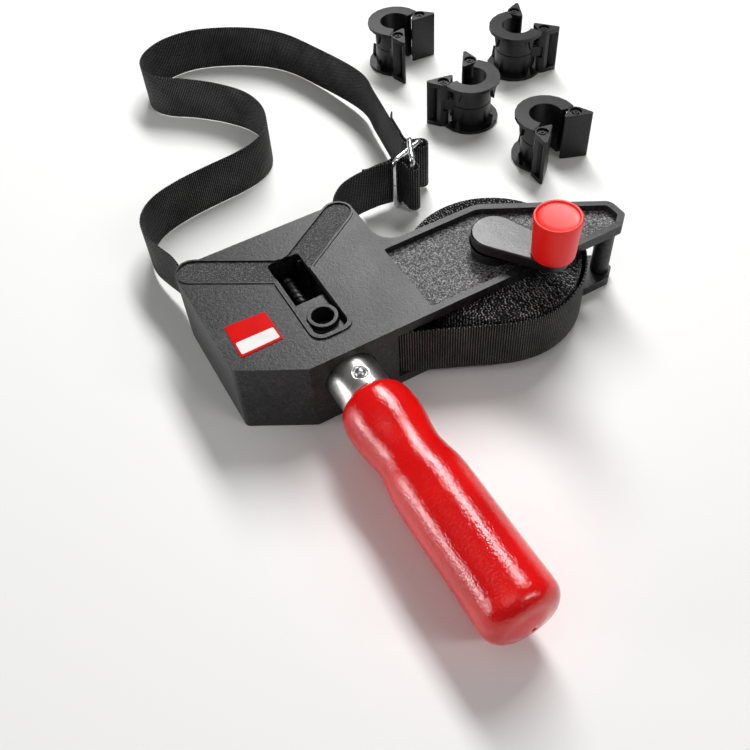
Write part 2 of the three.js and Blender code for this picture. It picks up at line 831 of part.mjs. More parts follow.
const pinBetweenPlates = (x, y, radius) =>
  disc(x, y, radius, plateThickness + seatGap, cavityTop - seatGap, 20);
const frontGuideX = bandLineX - guideRadius - seatGap - bandThickness / 2;
const exitGuideX = bandExitX + guideRadius + seatGap + bandThickness / 2;
place('inlet_guide', pinBetweenPlates(inletGuideX, -inletGuidePlace, guideRadius), finishes.steel);
place('front_guide', pinBetweenPlates(frontGuideX, -frontGuidePlace, guideRadius), finishes.steel);
place('exit_guide', pinBetweenPlates(exitGuideX, -exitGuidePlace, guideRadius), finishes.steel);
place('strap_anchor', pinBetweenPlates(anchorX, -anchorPlace, anchorRadius), finishes.steel);

// Bearing plate, spindle, collar, ferrule and grip

const bearingFace = housingDepth - wallThickness - seatGap;
const bearingFront = bearingFace - bearingThickness;
place(
  'bearing_plate',
  cut(
    boxBetween(
      [-bearingHalfWidth, -bearingFace, plateThickness + seatGap],
      [bearingHalfWidth, -bearingFront, cavityTop - seatGap],
    ),
    spindleDisc(spindleRadius + runGap, 0, housingDepth),
  ),
  finishes.steel,
);

place('spindle', spindleDisc(spindleRadius, spindleTip, spindleEnd, 20), finishes.steel);
place(
  'thrust_collar',
  cut(
    spindleDisc(collarRadius, bearingFront - seatGap - collarThickness, bearingFront - seatGap, 16),
    spindleDisc(spindleRadius + seatGap, 0, housingDepth, 16),
  ),
  finishes.steel,
);

const ferruleFront = bearingFace + seatGap;
const tenonRadius = ferruleRadius - ferruleWall - seatGap;
const pinTop = spindleHeight + ferruleRadius + ferrulePinProud;
const pinHole = disc(0, -ferrulePinPlace, ferrulePinHead + seatGap, spindleHeight, pinTop + overrun, 16);
const ferruleTop = spindleHeight + ferruleRadius;
const dimple = disc(
  0,
  -ferrulePinPlace,
  ferrulePinHead + seatGap,
  ferruleTop - ferruleDimpleDepth,
  ferruleTop,
  16,
  ferruleDimpleRadius,
);
place(
  'ferrule',
  cut(
    spindleDisc(ferruleRadius, ferruleFront, ferruleEnd, 24),
    spindleDisc(ferruleRadius - ferruleWall, ferruleFront + ferruleEndWall, ferruleEnd + overrun, 24),
    spindleDisc(spindleRadius + seatGap, 0, ferruleEnd, 20),
    pinHole,
    dimple,
  ),
  finishes.steel,
);
place(
  'ferrule_pin',
  fused(
    disc(
      0,
      -ferrulePinPlace,
      ferrulePinRadius,
      spindleHeight + spindleRadius + 2 * seatGap,
      pinTop - ferrulePinHead,
      12,
    ),
    solidOf(
      new THREE.SphereGeometry(ferrulePinHead, 12, 8)
        .rotateX(Math.PI / 2)
        .translate(0, -ferrulePinPlace, pinTop - ferrulePinHead),
    ),
  ),
  finishes.steel,
);

const gripProfile = () => {
  const side = gripOutline.map(([radius, behind]) => [radius, ferruleEnd + behind]);
  const [sideRadius] = gripOutline.at(-1);
  const rounding = arcPoints(
    sideRadius - gripEndRounding,
    ferruleEnd + gripRoundingPlace,
    gripEndRounding,
    0,
    Math.PI / 2,
    4,
  );
  return [...side, ...rounding.map((point) => [point.x, point.y]), [0, gripEnd]];
};
place(
  'grip',
  cut(
    spindleTurned(
      [
        [0, ferruleFront + ferruleEndWall + seatGap],
        [tenonRadius, ferruleFront + ferruleEndWall + seatGap],
        [tenonRadius, ferruleEnd + seatGap],
        ...gripProfile(),
      ],
      24,
    ),
    spindleDisc(spindleRadius + seatGap, 0, spindleEnd + seatGap, 20),
    spindleDisc(hangHoleRadius, gripEnd - hangHoleDepth, gripEnd + overrun, 10),
    pinHole,
  ),
  finishes.lacquer,
);

// Slider with the ring in the slot, the jaw beyond the band and the room for the cam

const padOutline = () =>
  roundedOutline([
    [-sliderHalfWidth, -sliderFront, 0],
    [sliderHalfWidth, -sliderFront, 0],
    [sliderHalfWidth, -sliderRear + sliderPadInset, slotRearRadius],
    [-sliderHalfWidth, -sliderRear + sliderPadInset, slotRearRadius],
  ]);

const slider = () => {
  const rear = -sliderRear;
  const front = -sliderFront;
  const jawInner = bandLineX + bandThickness / 2 + seatGap;
  return cut(
    fused(
      boxBetween([-sliderBlockLeft, rear, sliderLow], [sliderBlockRight, front, sliderPlateTop]),
      boxBetween([-sliderBlockLeft, -jawRear, sliderLow], [sliderRight, front, bandLow - seatGap]),
      boxBetween([-sliderBlockLeft, -jawRear, sliderPlateLow], [sliderRight, front, sliderPlateTop]),
      boxBetween([jawInner, -jawRear, sliderLow], [sliderRight, front, sliderPlateTop]),
      prism(padOutline(), sliderPlateLow, sliderPlateTop + sliderPadRise),
      disc(0, -ringPlace, ringRadius, sliderPlateLow, sliderPlateTop + ringRise, 28),
    ),
    disc(0, -ringPlace, ringBoreRadius, spindleHeight + ringBoreFloor, housingHeight + overrun, 24),
    spindleDisc(spindleRadius + runGap, 0, housingDepth, 20),
    disc(camPinX, -camPinPlace, camPinRadius + seatGap, sliderLow + seatGap, sliderPlateTop - seatGap, 14),
  );
};
place('slider', slider(), finishes.dark);

// Cam: round about its pin, with a toothed nose against the band

const camLow = bandLow + camLift;
const camFace = bandLineX - bandThickness / 2 - seatGap;
const camShape = () => {
  const shape = new THREE.Shape();
  const nose = camHubRadius + camNoseBack;
  shape.absarc(camPinX, -camPinPlace, camHubRadius, Math.PI / 2, Math.PI, false);
  shape.lineTo(camPinX - camHubRadius / 3, -camPinPlace - nose);
  shape.lineTo(camFace - camToothDepth, -camPinPlace - nose);
  for (let tooth = 0; tooth < camTeeth; tooth += 1) {
    const low = -camPinPlace - nose + ((tooth + 0.5) * camNoseBack) / camTeeth;
    const high = -camPinPlace - nose + ((tooth + 1) * camNoseBack) / camTeeth;
    shape.lineTo(camFace, low);
    shape.lineTo(camFace - camToothDepth, high);
  }
  shape.absarc(camPinX, -camPinPlace, camHubRadius, -Math.PI / 6, Math.PI / 2, false);
  return shape;
};
place(
  'band_cam',
  cut(
    prism(camShape(), camLow, sliderPlateLow - seatGap, 4),
    disc(camPinX, -camPinPlace, camPinRadius + seatGap, 0, housingHeight, 14),
  ),
  finishes.steel,
);
place(
  'cam_pin',
  disc(camPinX, -camPinPlace, camPinRadius, sliderLow + 2 * seatGap, sliderPlateTop - 2 * seatGap, 14),
  finishes.steel,
);

class Helix extends THREE.Curve {
  constructor(centre, radius, turns, low, high) {
    super();
    Object.assign(this, { centre, radius, turns, low, high });
  }
  getPoint(share) {
    const angle = 2 * Math.PI * this.turns * share;
    return new THREE.Vector3(
      this.centre.x + this.radius * Math.cos(angle),
      this.centre.y + this.radius * Math.sin(angle),
      this.low + (this.high - this.low) * share,
    );
  }
}
place(
  'cam_spring',
  wireGeometry(
    new Helix(
      new THREE.Vector2(camPinX, -camPinPlace),
      camSpringRadius,
      camSpringTurns,
      bandLow + camSpringWire / 2,
      camLow - seatGap - camSpringWire / 2,
    ),
    camSpringWire / 2,
    7 * camSpringTurns,
    3,
  ),
  finishes.steel,
);

// Reel: drum, bolt, crank, knob and the wound band

const reel = new THREE.Vector2(reelX, -reelPlace);
place(
  'reel_drum',
  cut(
    fused(
      disc(reel.x, reel.y, drumRadius, plateThickness + seatGap, cavityTop - seatGap, 28),
      disc(reel.x, reel.y, drumNeckRadius, cavityTop - 2 * seatGap, crankFoot - seatGap, 24),
      disc(reel.x, reel.y, drumFootRadius, plateThickness - drumFootDepth, plateThickness + 2 * seatGap, 20),
    ),
    disc(reel.x, reel.y, crankBoltRadius + seatGap, 0, crankTop, 14),
  ),
  finishes.dark,
);
place(
  'crank_bolt',
  fused(
    disc(
      reel.x,
      reel.y,
      crankBoltHeadRadius,
      plateThickness - drumFootDepth - seatGap - crankBoltHeadThickness,
      plateThickness - drumFootDepth - seatGap,
      16,
    ),
    disc(reel.x, reel.y, crankBoltRadius, plateThickness - drumFootDepth - 2 * seatGap, crankBoltTop, 14),
  ),
  finishes.steel,
);

const crankEnd = reel
  .clone()
  .add(
    new THREE.Vector2(crankLength, 0).rotateAround(
      new THREE.Vector2(0, 0),
      THREE.MathUtils.degToRad(crankAngle_deg),
    ),
  );
const leverOutline = () => {
  const along = crankEnd.clone().sub(reel);
  const angle = Math.atan2(along.y, along.x);
  const lean = Math.acos((crankPivotRadius - crankEndRadius) / along.length());
  const shape = new THREE.Shape();
  shape.absarc(reel.x, reel.y, crankPivotRadius, angle + lean, angle - lean + 2 * Math.PI, false);
  shape.absarc(crankEnd.x, crankEnd.y, crankEndRadius, angle - lean, angle + lean, false);
  shape.closePath();
  return shape;
};
place(
  'crank_lever',
  cut(
    fused(
      prism(leverOutline(), crankFoot, crankTop, 7),
      disc(
        reel.x,
        reel.y,
        crankHubRadius,
        housingHeight - armRecessDepth + seatGap,
        crankFoot + seatGap,
        24,
      ),
    ),
    disc(reel.x, reel.y, drumNeckRadius + seatGap, 0, crankFoot, 20),
    disc(reel.x, reel.y, crankBoltRadius + seatGap, 0, crankBoltTop + seatGap, 14),
    disc(crankEnd.x, crankEnd.y, knobPinRadius + seatGap, knobPinFoot - seatGap, crankTop + overrun, 16),
  ),
  finishes.dark,
);
place('knob_pin', disc(crankEnd.x, crankEnd.y, knobPinRadius, knobPinFoot, knobPinTop, 16), finishes.steel);

const knobFoot = crankTop + runGap;
const knobTop = knobFoot + knobHeight;
const knobSolid = () => {
  const profile = [
    [0, knobFoot],
    [knobFootRadius - knobEdge / 2, knobFoot],
    [knobFootRadius, knobFoot + knobEdge / 2],
    [knobTopRadius, knobTop - knobEdge],
    [knobTopRadius - knobEdge / 3, knobTop - knobEdge / 3],
    [knobTopRadius - knobEdge, knobTop],
    [knobTopRadius - 2 * knobEdge, knobTop - knobDish / 3],
    [knobTopRadius / 2, knobTop - knobDish],
    [0, knobTop - knobDish],
  ].map(([radius, height]) => new THREE.Vector2(radius, height));
  const geometry = new THREE.LatheGeometry(profile, 24)
    .rotateX(Math.PI / 2)
    .translate(crankEnd.x, crankEnd.y, 0);
  return solidOf(geometry);
};
place(
  'crank_knob',
  cut(
    knobSolid(),
    disc(crankEnd.x, crankEnd.y, knobPinRadius + runGap, 0, knobPinTop + seatGap, 16),
  ),
  finishes.redPlastic,
);

const coilPoints = Array.from({ length: coilLoops * coilSteps + 1 }, (_, index) => {
  const turns = index / coilSteps;
  const radius = coilStartRadius + coilPitch * turns;
  const angle = -2 * Math.PI * turns;
  return new THREE.Vector2(reel.x + radius * Math.cos(angle), reel.y + radius * Math.sin(angle));
});
place('band_coil', standingStrip(coilPoints, () => bandLow), finishes.webbing);

const leastCoilGap = () => {
  let least = Infinity;
  for (let index = 0; index + coilSteps < coilPoints.length - 1; index += 1) {
    const from = coilPoints[index + coilSteps];
    const to = coilPoints[index + coilSteps + 1];
    for (const point of [coilPoints[index], coilPoints[index + 1]]) {
      const along = to.clone().sub(from);
      const away = point.clone().sub(from);
      least = Math.min(least, Math.abs(along.cross(away)) / along.length() - bandThickness);
    }
  }
  return least;
};
console.log(`band_coil: ${coilLoops} loops, least gap to itself ${leastCoilGap().toFixed(3)} mm`);

// The band on its way: outer layer of the coil, then past the guides to the left corner

const runEnd = cornerBulge + seatGap;
const runLine = routeRound(
  [
    { x: reel.x, y: reel.y, radius: feedRadius, side: 1 },
    { x: inletGuideX, y: -inletGuidePlace, radius: guidedRadius, side: 1 },
    { x: frontGuideX, y: -frontGuidePlace, radius: guidedRadius, side: -1 },
    { x: exitGuideX, y: -exitGuidePlace, radius: guidedRadius, side: 1 },
    { x: bandExitX, y: runEnd, radius: 0, side: 1 },
  ],
  THREE.MathUtils.degToRad(feedStart_deg),
);
place('band_run', standingStrip(runLine, () => bandLow), finishes.webbing);

// Free band, from the left corner round to the sewn eye at the hook

const settle = (share, from, to, low, high) =>
  low + (high - low) * THREE.MathUtils.smoothstep(share, from, to);
const loopLow = (share) =>
  share < loopRise_shares[0]
    ? settle(share, ...loopFall_shares, bandLow, bandLowOutside)
    : settle(share, ...loopRise_shares, bandLowOutside, bandLowAtHook);

const loopBody = spacedLine([[bandExitX, runEnd + seatGap], ...loopPlan], loopSteps);
const flapFrom = loopBody.findLastIndex((point) => point.y > longFlapStart);
const longEnd = flapBeside(loopBody, flapFrom, longFlap, 1);
const longEye = spacedLine([loopPlan.at(-1), ...longEyePlan, longEnd[0].toArray()], eyeSteps);
const loopLine = [...loopBody, ...longEye.slice(1, -1), ...longEnd];
place('band_loop', standingStrip(loopLine, loopLow), finishes.webbing);

const strapBody = spacedLine([[strapExitX, 0], ...strapPlan], strapSteps);
const strapRound = arcPoints(
  anchorX,
  -anchorPlace,
  anchorRadius + seatGap + bandThickness / 2,
  -1.5 * Math.PI,
  0,
  14,
);
const strapTailPoint = strapRound[0].clone().add(new THREE.Vector2(strapTail, 0));
const strapEnd = flapBeside(strapBody, strapBody.length - 2, shortFlap, 1);
const strapEye = spacedLine([strapPlan.at(-1), ...shortEyePlan, strapEnd[0].toArray()], eyeSteps);
const strapLine = [strapTailPoint, ...strapRound, ...strapBody, ...strapEye.slice(1, -1), ...strapEnd];
const strapLow = (share) => settle(share, ...strapFall_shares, bandLow, bandLowAtHook);
place('short_strap', standingStrip(strapLine, strapLow), finishes.webbing);

// Wire ring through the long eye, and the hook through the short eye that holds it

const wireThrough = (points, bend, steps) => {
  const path = new THREE.CurvePath();
  let from = points[0];
  for (let index = 1; index < points.length - 1; index += 1) {
    const corner = points[index];
    const into = corner.clone().sub(points[index - 1]);
    const out = points[index + 1].clone().sub(corner);
    const start = corner.clone().addScaledVector(into.clone().normalize(), -bend);
    const end = corner.clone().addScaledVector(out.clone().normalize(), bend);
    path.add(new THREE.LineCurve3(from, start));
    path.add(new THREE.QuadraticBezierCurve3(start, corner, end));
    from = end;
  }
  path.add(new THREE.LineCurve3(from, points.at(-1)));
  return wireGeometry(path, wireRadius, steps);
};
const upright = ([x, y], height) => new THREE.Vector3(x, y, height);
const midHeight = (wireLow + ringWireHigh) / 2;
place(
  'loop_ring',
  wireThrough(
    [
      upright(ringOuterBar, midHeight + ringButt / 2),
      upright(ringOuterBar, ringWireHigh),
      upright(ringEyeBar, ringWireHigh),
      upright(ringEyeBar, wireLow),
      upright(ringOuterBar, wireLow),
      upright(ringOuterBar, midHeight - ringButt / 2),
    ],
    ringBend,
    38,
  ),
  finishes.wire,
);
const ringAlong = new THREE.Vector2(...ringEyeBar).sub(new THREE.Vector2(...ringOuterBar)).normalize();
const fromOuter = new THREE.Vector2(...hookBar).sub(new THREE.Vector2(...ringOuterBar));
const ringFoot = new THREE.Vector2(...ringOuterBar).addScaledVector(ringAlong, fromOuter.dot(ringAlong));
const towardsBar = new THREE.Vector2(...hookBar).sub(ringFoot).normalize();
const hookFoot = ringFoot.clone().addScaledVector(towardsBar, hookReach);
const hookReturn = new THREE.Vector2(...hookBar).lerp(new THREE.Vector2(...hookTip), hookReturn_share);
place(
  'strap_hook',
  wireThrough(
    [
      upright(hookFoot.toArray(), wireLow),
      upright(hookBar, wireLow),
      upright(hookBar, hookWireHigh),
      upright(hookTip, hookWireHigh),
      upright(hookTip, hookReturnLow),
      upright(hookReturn.toArray(), hookReturnLow),
    ],
    hookBend,
    40,
  ),
  finishes.wire,
);

// Corner pieces: a flanged barrel, open on one side, with two jaws on upright pins

const inPolar = (radius, angle_deg) => {
  const angle = THREE.MathUtils.degToRad(angle_deg);
  return new THREE.Vector2(radius * Math.cos(angle), radius * Math.sin(angle));
};
const hullShape = (points) => {
  const sorted = points.toSorted((a, b) => a.x - b.x || a.y - b.y);
  const chain = (list) => {
    const kept = [];
    for (const point of list) {
      while (
        kept.length > 1 &&
        kept.at(-1).clone().sub(kept.at(-2)).cross(point.clone().sub(kept.at(-1))) <= 0
      ) {
        kept.pop();
      }
      kept.push(point);
    }
    return kept.slice(0, -1);
  };
  return new THREE.Shape([...chain(sorted), ...chain(sorted.toReversed())]);
};

const midCorner = cornerHeight / 2;
const pivotRound = (side, radius) => {
  const pivot = inPolar(cornerPivotRadius, side * cornerHalfOpening_deg);
  return arcPoints(pivot.x, pivot.y, radius, 0, 2 * Math.PI, 10).slice(1);
};
const pivotDisc = (side, radius, low, high, sides = 14) => {
  const pivot = inPolar(cornerPivotRadius, side * cornerHalfOpening_deg);
  return disc(pivot.x, pivot.y, radius, low, high, sides);
};

const finSolid = (angle_deg, upper) => {
  const shape = new THREE.Shape([
    new THREE.Vector2(-finWidth / 2, 0),
    new THREE.Vector2(finWidth / 2, 0),
    new THREE.Vector2(0, finLength),
  ]);
  const inside = cornerFlangeRadius - finThickness - seatGap;
  const geometry = new THREE.ExtrudeGeometry(shape, { depth: finThickness, bevelEnabled: false });
  if (upper) geometry.rotateX(-Math.PI / 2).translate(0, inside, cornerHeight - cornerFlange / 2);
  else geometry.rotateX(Math.PI / 2).translate(0, inside + finThickness, cornerFlange / 2);
  return solidOf(geometry.rotateZ(THREE.MathUtils.degToRad(angle_deg) - Math.PI / 2));
};

const lugOutline = (side, grow) => {
  const roots = lugRoots.map(([radius, angle]) => inPolar(radius, side * angle));
  return hullShape([...pivotRound(side, lugRadius + grow), ...roots]);
};

const spoolSolid = () => {
  const reach = 2 * cornerFlangeRadius;
  const end = cornerHalfOpening_deg + cornerEnd_deg;
  const wedge = new THREE.Shape([
    new THREE.Vector2(0, 0),
    inPolar(reach, -end),
    inPolar(reach, -end / 2),
    inPolar(reach, end / 2),
    inPolar(reach, end),
  ]);
  const lugs = [1, -1].map((side) =>
    prism(lugOutline(side, 0), midCorner - lugHeight / 2, midCorner + lugHeight / 2),
  );
  return cut(
    fused(
      cut(
        fused(
          disc(0, 0, cornerFlangeRadius, 0, cornerFlange, 20),
          disc(0, 0, cornerBarrelRadius, cornerFlange / 2, midCorner - seamHeight / 2, 20),
          disc(0, 0, cornerBarrelRadius - seamDepth, cornerFlange, cornerHeight - cornerFlange, 20),
          disc(
            0,
            0,
            cornerBarrelRadius,
            midCorner + seamHeight / 2,
            cornerHeight - cornerFlange / 2,
            20,
          ),
          disc(0, 0, cornerFlangeRadius, cornerHeight - cornerFlange, cornerHeight, 20),
          ...finAngles_deg.flatMap((angle) => [finSolid(angle, true), finSolid(angle, false)]),
        ),
        disc(0, 0, cornerBoreRadius, -overrun, cornerHeight + overrun, 20),
        prism(wedge, -overrun, cornerHeight + overrun),
        ...[1, -1].map((side) =>
          pivotDisc(side, jawPivotRadius + runGap, -overrun, cornerHeight + overrun),
        ),
      ),
      ...lugs,
    ),
    ...[1, -1].map((side) => pivotDisc(side, jawPinRadius + seatGap, 0, cornerHeight, 8)),
  );
};

// A jaw: two plates with a wall behind the flat face and a barrel round the pin, hollow between
const jawSolid = (side) => {
  const inner = new THREE.Vector2(jawInner[0], side * jawInner[1]);
  const outer = new THREE.Vector2(jawOuter[0], side * jawOuter[1]);
  const along = outer.clone().sub(inner).normalize();
  const inward = new THREE.Vector2(-along.y, along.x).multiplyScalar(side);
  const rounding = jawWall / 2;
  const ends = [
    inner.clone().addScaledVector(along, rounding).addScaledVector(inward, rounding),
    outer.clone().addScaledVector(along, -rounding).addScaledVector(inward, rounding),
  ];
  const rounds = ends.flatMap((end) => arcPoints(end.x, end.y, rounding, 0, 2 * Math.PI, 8).slice(1));
  const outline = hullShape([...pivotRound(side, jawPivotRadius), ...rounds]);
  const pivot = inPolar(cornerPivotRadius, side * cornerHalfOpening_deg);
  const lugAway = inPolar(...lugRoots[0].map((value, index) => (index ? side * value : value))).sub(pivot);
  const lugAngle = Math.atan2(lugAway.y, lugAway.x);
  const inTurn = THREE.MathUtils.degToRad(jawSwingIn_deg + reliefMargin_deg);
  const outTurn = THREE.MathUtils.degToRad(jawSwingOut_deg + reliefMargin_deg);
  const from = lugAngle - (side > 0 ? outTurn : inTurn);
  const to = lugAngle + (side > 0 ? inTurn : outTurn);
  const relief = hullShape([
    ...pivotRound(side, lugRadius + runGap),
    ...arcPoints(pivot.x, pivot.y, reliefReach, from, to, 2),
  ]);
  const slotLow = midCorner - lugHeight / 2 - runGap;
  const slotHigh = midCorner + lugHeight / 2 + runGap;
  return cut(
    fused(
      prism(outline, 0, jawPlate),
      prism(outline, cornerHeight - jawPlate, cornerHeight),
      prism(hullShape(rounds), 0, cornerHeight),
      prism(hullShape(pivotRound(side, jawPivotRadius)), 0, cornerHeight),
    ),
    prism(relief, slotLow, slotHigh),
    pivotDisc(side, jawPinRadius + seatGap, -overrun, cornerHeight + overrun, 8),
    pivotDisc(side, jawPinRecessRadius, -overrun, jawPinRecess, 10),
    pivotDisc(side, jawPinRecessRadius, cornerHeight - jawPinRecess, cornerHeight + overrun, 10),
  );
};

const spool = spoolSolid();
const jaws = { left: jawSolid(1), right: jawSolid(-1) };
cornerPlaces.forEach(([name, x, y, opening_deg]) => {
  const group = new THREE.Group();
  group.position.set(x, y, 0);
  group.rotation.z = THREE.MathUtils.degToRad(opening_deg);
  clamp.add(group);
  place(`${name}_spool`, spool, finishes.dark, group);
  for (const [hand, side] of [
    ['left', 1],
    ['right', -1],
  ]) {
    place(`${name}_jaw_${hand}`, jaws[hand], finishes.dark, group);
    const pin = cut(
      pivotDisc(side, jawPinRadius, jawPinRecess / 2, cornerHeight - jawPinRecess / 2, 8),
      pivotDisc(side, jawPinBore, -overrun, cornerHeight + overrun, 6),
    );
    place(`${name}_jaw_pin_${hand}`, pin, finishes.steel, group);
  }
});

export default clamp;
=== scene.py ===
"""Band clamp with a screw grip, a cranked reel and loose corner pieces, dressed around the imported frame."""

import logging
import math
import random
from collections.abc import Callable, Sequence
from dataclasses import dataclass, replace
from enum import Enum
from functools import cache
from itertools import accumulate
from typing import Any

import bmesh
import bpy
from mathutils import Matrix, Vector


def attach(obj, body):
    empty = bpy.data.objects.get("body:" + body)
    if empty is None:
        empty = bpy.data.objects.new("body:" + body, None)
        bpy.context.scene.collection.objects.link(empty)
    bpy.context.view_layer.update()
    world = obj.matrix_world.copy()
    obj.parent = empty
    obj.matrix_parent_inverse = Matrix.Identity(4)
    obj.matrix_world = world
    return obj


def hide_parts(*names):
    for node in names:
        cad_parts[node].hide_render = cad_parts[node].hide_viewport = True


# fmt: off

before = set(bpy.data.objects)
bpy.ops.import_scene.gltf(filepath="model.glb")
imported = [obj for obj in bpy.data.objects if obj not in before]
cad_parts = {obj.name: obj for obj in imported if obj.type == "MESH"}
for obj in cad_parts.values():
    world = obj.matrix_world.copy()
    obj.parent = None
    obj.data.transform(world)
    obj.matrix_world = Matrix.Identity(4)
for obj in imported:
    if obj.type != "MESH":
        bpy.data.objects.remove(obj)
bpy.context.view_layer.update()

log = logging.getLogger("band_clamp")

MM = 0.001
FRONT_EDGE = 11.0  # y of the housing's front edge, in millimetres
BAND_WIDTH = 25.0
BAND_THICKNESS = 0.78
WELD = 0.000002  # vertices closer than this, in metres, become one
SHARP = 35.0  # edges that turn by more degrees stay sharp
SHARP_TURNED = 50.0  # the same on turned and bent pieces

Point = tuple[float, float]
Point3 = tuple[float, float, float]
Plan = tuple[Point, ...]
Socket = bpy.types.NodeSocket
Material = bpy.types.Material
Item = bpy.types.Object
Shape = bmesh.types.BMesh


class Slot(Enum):
    """The record's material slots."""

    HOUSING = "housing"
    DARK_PLASTIC = "dark_plastic"
    WEBBING = "webbing"
    RED_LACQUER = "red_lacquer"
    RED_PLASTIC = "red_plastic"
    STEEL = "steel"
    WIRE = "zinc_wire"


def adjusted(thing: Any, **settings: object) -> Any:
    """Set properties.

    Args:
        thing: What they belong to.
        **settings: Their values by name.

    Returns:
        The same thing.
    """
    for key, value in settings.items():
        setattr(thing, key, value)
    return thing


class Nodes:
    """A small builder for a material's or a world's node tree."""

    def __init__(self, owner: Material | bpy.types.World) -> None:
        """Give the material or world an empty tree."""
        self.tree = adjusted(owner, use_nodes=True).node_tree
        self.tree.nodes.clear()

    def add(self, kind: str, **values: object) -> bpy.types.Node:
        """Add a node.

        Args:
            kind: The node's type name, without what all shader nodes begin with.
            **values: Constants for its sockets by name, with underscores for spaces.

        Returns:
            The new node.
        """
        node = self.tree.nodes.new(f"ShaderNode{kind}")
        self.set(node, **values)
        return node

    def set(self, node: bpy.types.Node, **values: object) -> None:
        """Set constants on a node's sockets by name, with underscores for spaces."""
        for key, value in values.items():
            node.inputs[key.replace("_", " ")].default_value = value

    def link(self, source: Socket, target: Socket) -> None:
        """Join two sockets."""
        self.tree.links.new(source, target)

    def fed(self, kind: str, target: str, source: Socket, **values: object) -> Socket:
        """Add a node with one linked input.

        Args:
            kind: As for add.
            target: The name of the input.
            source: The socket that feeds it.
            **values: As for add.

        Returns:
            The node's first output.
        """
        node = self.add(kind, **values)
        self.link(source, node.inputs[target])
        return node.outputs[0]

    def seen(self, plain: Socket, paper: Socket, share: Socket | None = None) -> Socket:
        """Let the camera see another shader than the light does.

        Args:
            plain: The shader that the light meets.
            paper: The shader that the camera sees.
            share: How much of the paper it sees, or None for all.

        Returns:
            The shader socket.
        """
        camera = self.add("LightPath").outputs["Is Camera Ray"]
        mix = self.add("MixShader")
        sources = (self.math("MULTIPLY", share, camera) if share else camera, plain, paper)
        for source, target in zip(sources, mix.inputs):
            self.link(source, target)
        return mix.outputs[0]

    def math(self, operation: str, *values: Socket | float) -> Socket:
        """A maths node.

        Args:
            operation: The operation's name.
            *values: Its sockets or numbers in order.

        Returns:
            The value socket.
        """
        node = adjusted(self.add("Math"), operation=operation)
        for socket, value in zip(node.inputs, values):
            if isinstance(value, Socket):
                self.link(value, socket)
            else:
                socket.default_value = value
        return node.outputs[0]


class Graph(Nodes):
    """A builder for materials around one Principled shader."""

    def __init__(self, name: str) -> None:
        """Start an empty material.

        Args:
            name: The material's name.
        """
        self.material = bpy.data.materials.new(name)
        super().__init__(self.material)
        self.output = self.add("OutputMaterial")
        self.shader = self.add("BsdfPrincipled")
        self.link(self.shader.outputs[0], self.output.inputs[0])
        self.coordinates = self.add("TexCoord")

    def object_space(self, stretch: Point3 = (1.0, 1.0, 1.0)) -> Socket:
        """Object coordinates, stretched along the axes."""
        return self.fed("Mapping", "Vector", self.coordinates.outputs["Object"], Scale=stretch)

    def noise(self, vector: Socket, scale: float, detail: float = 3.0, roughness: float = 0.5) -> Socket:
        """Noise between 0 and 1, with its cycles per metre, its octaves and the share of the finer ones."""
        return self.fed("TexNoise", "Vector", vector, Scale=scale, Detail=detail, Roughness=roughness)

    def colour(self, value: Socket, stops: Sequence[tuple[float, Point3]]) -> None:
        """Colour the surface by a ramp.

        Args:
            value: What drives the ramp.
            stops: Places and colours.
        """
        node = self.add("ValToRGB")
        elements = node.color_ramp.elements
        while len(elements) < len(stops):
            elements.new(0.5)
        for element, (place, colour) in zip(elements, stops):
            element.position = place
            element.color = (*colour, 1.0)
        self.link(value, node.inputs[0])
        self.link(node.outputs[0], self.shader.inputs["Base Color"])

    def span(self, value: Socket, low: float, high: float) -> Socket:
        """Spread a value from 0..1 to a range."""
        return self.fed("MapRange", "Value", value, To_Min=low, To_Max=high)

    def rough(self, value: Socket, low: float, high: float) -> None:
        """Let a value set the roughness between two limits."""
        self.link(self.span(value, low, high), self.shader.inputs["Roughness"])

    def blend(self, first: Socket, second: Socket, share: float, rest: float | None = None) -> Socket:
        """Add two values by their weights. Without the second weight the two add up to 1."""
        other = 1.0 - share if rest is None else rest
        return self.math("ADD", self.math("MULTIPLY", first, share), self.math("MULTIPLY", second, other))

    def bump(self, heights: Sequence[tuple[Socket, float, float]]) -> None:
        """Chain bumps into the shader's normal.

        Args:
            heights: Height sockets, each with its strength and its depth in metres.
        """
        normal = None
        for height, strength, depth in heights:
            node = self.add("Bump", Strength=strength, Distance=depth)
            self.link(height, node.inputs["Height"])
            if normal is not None:
                self.link(normal, node.inputs["Normal"])
            normal = node.outputs[0]
        self.link(normal, self.shader.inputs["Normal"])


@dataclass(frozen=True)
class MouldedPlastic:
    """Moulded plastic with an eroded grain, slightly worn and dusty; in the coarse copies the light speckles
    are painted glints. Scales are per metre.
    """

    name: str
    dark: Point3
    light: Point3
    grain: float = 1150.0
    depth: float = 0.00014
    roughness: Point = (0.3, 0.6)
    speckle: float = 0.6  # the grain's share in the colour
    contrast: float = 0.13  # half the width of the step from dark to light
    gloss: float = 0.4
    middle: float = 0.5  # where the step from dark to light lies
    patches: float = 45.0
    waves: float = 110.0
    wave_depth: float = 0.0003

    def build(self) -> Material:
        """Make the material.

        Returns:
            The material.
        """
        graph = Graph(self.name)
        space = graph.object_space()
        cloud = graph.noise(space, self.patches, 5.0, 0.6)
        grain = graph.noise(space, self.grain, 2.0, 0.65)
        pits = graph.noise(space, self.grain * 0.45, 1.0)
        mixed = graph.blend(grain, pits, 0.7)
        stops = [(self.middle - self.contrast, self.dark), (self.middle + self.contrast, self.light)]
        graph.colour(graph.blend(mixed, cloud, self.speckle), stops)
        graph.rough(graph.blend(mixed, cloud, 0.45), *self.roughness)
        graph.set(graph.shader, IOR=1.48, Specular_IOR_Level=self.gloss)
        graph.bump([(mixed, 0.9, self.depth), (graph.noise(space, self.waves, 2.0), 0.2, self.wave_depth)])
        return graph.material


